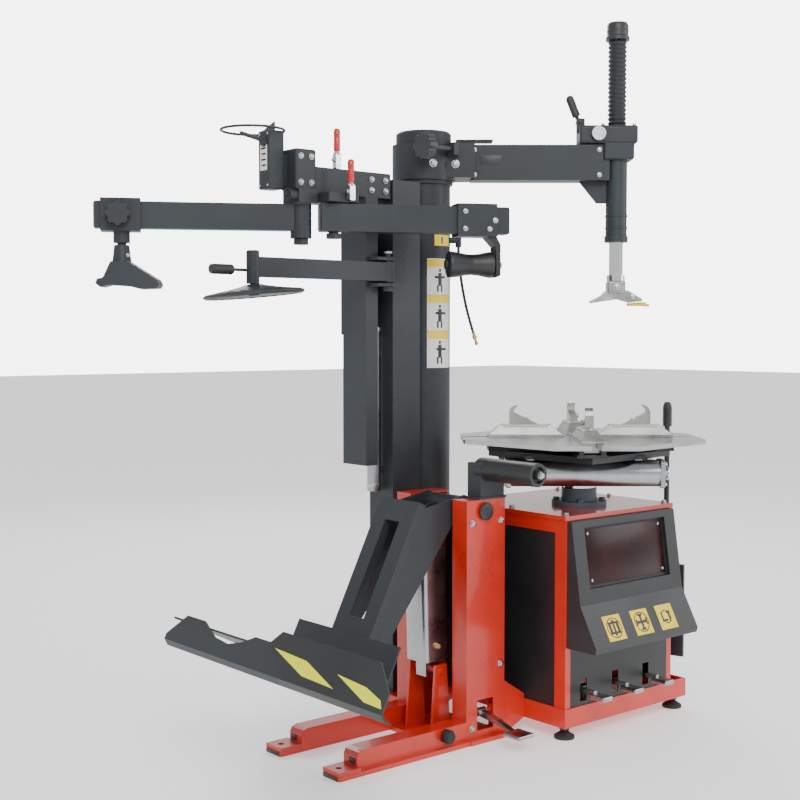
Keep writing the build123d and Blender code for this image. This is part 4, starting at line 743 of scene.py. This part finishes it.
for latch, (x, y, z) in (("beam_latch", (-578, 378, 1633)), ("arm_latch", (-590, 300, 1540))):
    turned(f"{latch}_grip", [(7.4, -38), (9.2, -36), (9.2, -4), (8.6, 0), (9.2, 4), (9.2, 18),
                              (7.2, 23), (4, 25)],
           (x, y, z), (0, 0, 1), red_grip, latch + "_body", 32)
    turned(f"{latch}_collar", [(8.4, 0), (10.4, 1), (10.4, 6), (8, 8)], (x, y, z - 48), (0, 0, 1), chrome,
           latch + "_body", 32)
    hex_bolt(f"{latch}_nut", (x - 9, y, z - 62), (-1, 0, 0), 10, zinc, latch + "_body")

FOOT_PIVOT = (-689, 395)
FOOT_TURN = 150
ROLLER_PIVOT = (-612, 350)
ROLLER_TURN = -27


def on_foot_arm(x, y, z):
    """A point on the press foot's arm, along it from its pin."""
    return round_axis(x, y, z, FOOT_TURN, FOOT_PIVOT)


def on_roller_arm(x, y, z):
    """A point on the press roller's arm, along it from its pin."""
    return round_axis(x, y, z, ROLLER_TURN, ROLLER_PIVOT)


def end_plug(name, corners, finish, body):
    """Moulded plug that closes a box arm's end."""
    return tile(name, corners, 3.0, finish, body, 1.2)


end_plug("foot_arm_plug", [on_foot_arm(548, y, z) for y, z in ((-21, 1375), (21, 1375), (21, 1440),
                                                                (-21, 1440))],
         plug_grey, "foot_arm_body")
end_plug("roller_arm_plug", [on_roller_arm(494, y, z) for y, z in ((-23, 1374), (23, 1374), (23, 1443),
                                                                  (-23, 1443))],
         grip_plastic, "roller_arm_body")
end_plug("roller_arm_back_plug", [on_roller_arm(-37, y, z) for y, z in ((23, 1374), (-23, 1374), (-23, 1443),
                                                                       (23, 1443))], grip_plastic,
         "roller_arm_body")
for count, (radius, low, high) in enumerate(((33, 1476.5, 1484), (30, 1444.2, 1446))):
    turned(f"foot_pin_washer_{count + 1}", [(radius - 1, 0), (radius, 0.6), (radius, high - low - 0.4),
                                            (radius - 1, high - low)], (*FOOT_PIVOT, low), (0, 0, 1), zinc,
           "helper_mast_body", 48)
hex_bolt("foot_socket_screw", on_foot_arm(478 - 16, 19, 1300), round_axis(-0.6, 0.8, 0.05, FOOT_TURN), 9,
         zinc,
         "press_foot_body")
hex_bolt("roller_strap_bolt_low", on_roller_arm(470, 0, 1286), round_axis(1, 0, 0, ROLLER_TURN), 17, zinc,
         "roller_block_body")
hex_bolt("roller_strap_bolt_high", on_roller_arm(452, -34, 1408), round_axis(0, -1, 0, ROLLER_TURN), 11, zinc,
         "roller_block_body")
for count, (x, z) in enumerate(((366, 1384), (366, 1432), (436, 1384))):
    hex_bolt(f"roller_block_bolt_{count + 1}", on_roller_arm(x, -34, z),
             round_axis(0, -1, 0, ROLLER_TURN), 10,
             zinc, "roller_block_body")
for end, along in (("inner", 325), ("outer", 451)):
    out = -1 if end == "inner" else 1
    turned(f"roller_lid_{end}", [(30, 0), (30, 0.9), (27, 1.5), (16, 1.5), (15.4, 0.8)],
           on_roller_arm(along, 0, 1286), round_axis(out, 0, 0, ROLLER_TURN), grip_plastic,
           "press_roller_body",
           48)
disc_grip = [(12.4, 0)]
for ring in range(7):
    disc_grip += [(13.4, 2 + ring * 8), (13.4, 6.4 + ring * 8), (12.6, 7.2 + ring * 8), (12.6, 9 + ring * 8)]
turned("disc_arm_grip", disc_grip + [(12.2, 60), (8, 64)], (-954, 330, 1257), (-1, 0, 0), grip_plastic,
       "disc_arm_body", 32)
turned("disc_post_cap", [(16.6, 0), (16.6, 2.5), (14.6, 4.6), (5, 5.2)], (-889, 330, 1304), (0, 0, 1),
       grip_plastic, "disc_arm_body", 40)
turned("disc_pin_cap", [(12.6, 0), (12.6, 5), (10.8, 6.6), (4, 6.6)], (-436, 330, 1318), (0, 0, 1), zinc,
       "helper_mast_body", 40)
for count, (x, z) in enumerate(((-715, 1500), (-680, 1500), (-715, 1570), (-680, 1570))):
    hex_bolt(f"beam_block_bolt_{count + 1}", (x, 358, z), (0, -1, 0), 12, zinc, "helper_mast_body",
             12 * count)
for count, (x, z) in enumerate(((-470, 1495), (-420, 1495), (-470, 1525), (-420, 1525))):
    hex_bolt(f"beam_bolt_{count + 1}", (x, 360, z), (0, -1, 0), 12, zinc, "helper_mast_body", 9 * count)
tile("control_label", [(-793.1, y, z) for y, z in ((436, 1530), (403, 1530), (403, 1598), (436, 1598))], 0.5,
     label_white, "helper_mast_body", 0.2)
for count, z in enumerate((1586, 1571, 1556, 1541)):
    tile(f"control_label_line_{count + 1}",
         [(-793.65, y, z + rise) for y, rise in ((431 - 3 * (count % 2), 0), (408, 0), (408, 5),
                                               (431 - 3 * (count % 2), 5))], 0.2, label_black,
         "helper_mast_body", 0.05)
for count, (y, z) in enumerate(((401, 1490), (438, 1490), (401, 1627), (438, 1627))):
    turned(f"control_screw_{count + 1}", [(3.6, 0), (3.6, 0.8), (2.6, 2), (1.2, 2.1), (1, 1.2)],
           (-793, y, z), (-1, 0, 0), zinc, "helper_mast_body", 20)
turned("lever_boot", [(14, 0), (14, 2), (11, 4), (12, 6), (9, 8.5), (10, 10.5), (7, 13)], (-793.4, 416, 1606),
       (-1, 0, 0), grip_plastic, "helper_mast_body", 32)
for level in (652, 1100):
    turned(f"mast_cylinder_band_{level}", [(20.1, 0), (22, 0.8), (22, 11), (20.1, 12)], (-424, 408, level),
           (0, 0, 1), zinc, "frame", 40)

# ---- Wheel lift -------------------------------------------------------------
# Red legs and uprights, a grey arm and back rest on the lift's shaft, and a tray in two
# lengths; the front one is black with yellow warning stripes.
wear_on(black_sheet, "tray_front")
LIFT_PIVOT = (-380, 620)
LIFT_ANGLE = 26.7
stripe_yellow = surface("stripe_yellow", (0.84, 0.88, 0.002), (0.74, 0.78, 0.002), 0.34, 0.5, patch=14,
                        grain=500, depth=0.0001, edge=0.0004)


def on_lift(x, y, z):
    """A point on the lift arm as it hangs lowered about its shaft, turned to the raised pose."""
    c, s = math.cos(math.radians(LIFT_ANGLE)), math.sin(math.radians(LIFT_ANGLE))
    return (LIFT_PIVOT[0] + x * c + z * s, y, LIFT_PIVOT[1] - x * s + z * c)


for name, corners in (("front", ((-93, -543), (-220, -549), (-338, -587), (-221, -583))),
                      ("far_front", ((-334, -555), (-437, -562), (-492, -578), (-503, -594), (-444, -592)))):
    tile(f"warning_stripe_{name}", [on_lift(-551.1, y, z) for y, z in corners], 0.5, stripe_yellow,
         "lift_arm_body", 0.15)
for number, y in enumerate((11, 260)):
    tile(f"leg_end_plug_{number + 1}",
         [(-882.1, y + a * 29, z) for a, z in ((1, 1.5), (-1, 1.5), (-1, 10.5), (1, 10.5))], 1.6,
         grip_plastic, "frame", 0.5)
    tile(f"leg_rib_plug_{number + 1}",
         [(-814.1, y + a * 12, z) for a, z in ((1, 25), (-1, 25), (-1, 40), (1, 40))], 1.4,
         grip_plastic, "frame", 0.5)
turned("lift_shaft_cap_front", [(24, 0), (24, 3), (21, 5), (9, 5), (8, 3.6)], (-380, -14.2, 620), (0, -1, 0),
       grip_plastic, "lift_arm_body", 48)
turned("lift_shaft_cap_back", [(24, 0), (24, 3), (21, 5), (9, 5), (8, 3.6)], (-380, 285.2, 620), (0, 1, 0),
       grip_plastic, "lift_arm_body", 48)
for count, (x, z) in enumerate(((-425, 590), (-425, 40), (-320, 590), (-320, 200), (-320, 40))):
    hex_bolt(f"upright_bolt_{count + 1}", (x, -8, z), (0, -1, 0), 13, zinc, "frame", 11 * count)
turned("leg_bumper", [(16, 0), (18, 3), (18, 18), (14, 25), (6, 27)], (-520, -8, 40), (0, -1, 0), foot_rubber,
       "frame", 40)
turned("guide_roller_bolt", [(10, 0), (10, 2), (8.6, 2.4), (8.6, 7), (7.2, 8.4), (3, 8.4)], (-365, -198, 730),
       (0, -1, 0), zinc, "frame", 6)
for side in (-1, 1):
    turned(f"lift_barrel_port_{'front' if side < 0 else 'back'}", [(9, 0), (9, 5), (6.5, 6), (6.5, 12),
                                                                   (4, 13)],
           (-456, 135.5 + 42 * side, 250), (0, side, 0), hose_brass, "lift_barrel_body", 24)

# ---- Shaft cap and tool head ------------------------------------------------
# The hexagonal shaft ends in a black cap over the bellows.
turned("shaft_cap_sleeve", [(35.5, 0), (35.6, 9), (31.8, 13), (31.8, 24), (32.6, 25), (32.6, 30), (31.8, 31),
                            (31.8, 43), (27.8, 51.6), (6, 52.4)], on_arm(577, 0, 1962.8), (0, 0, 1),
       grip_plastic, "tool_shaft_body", 56)
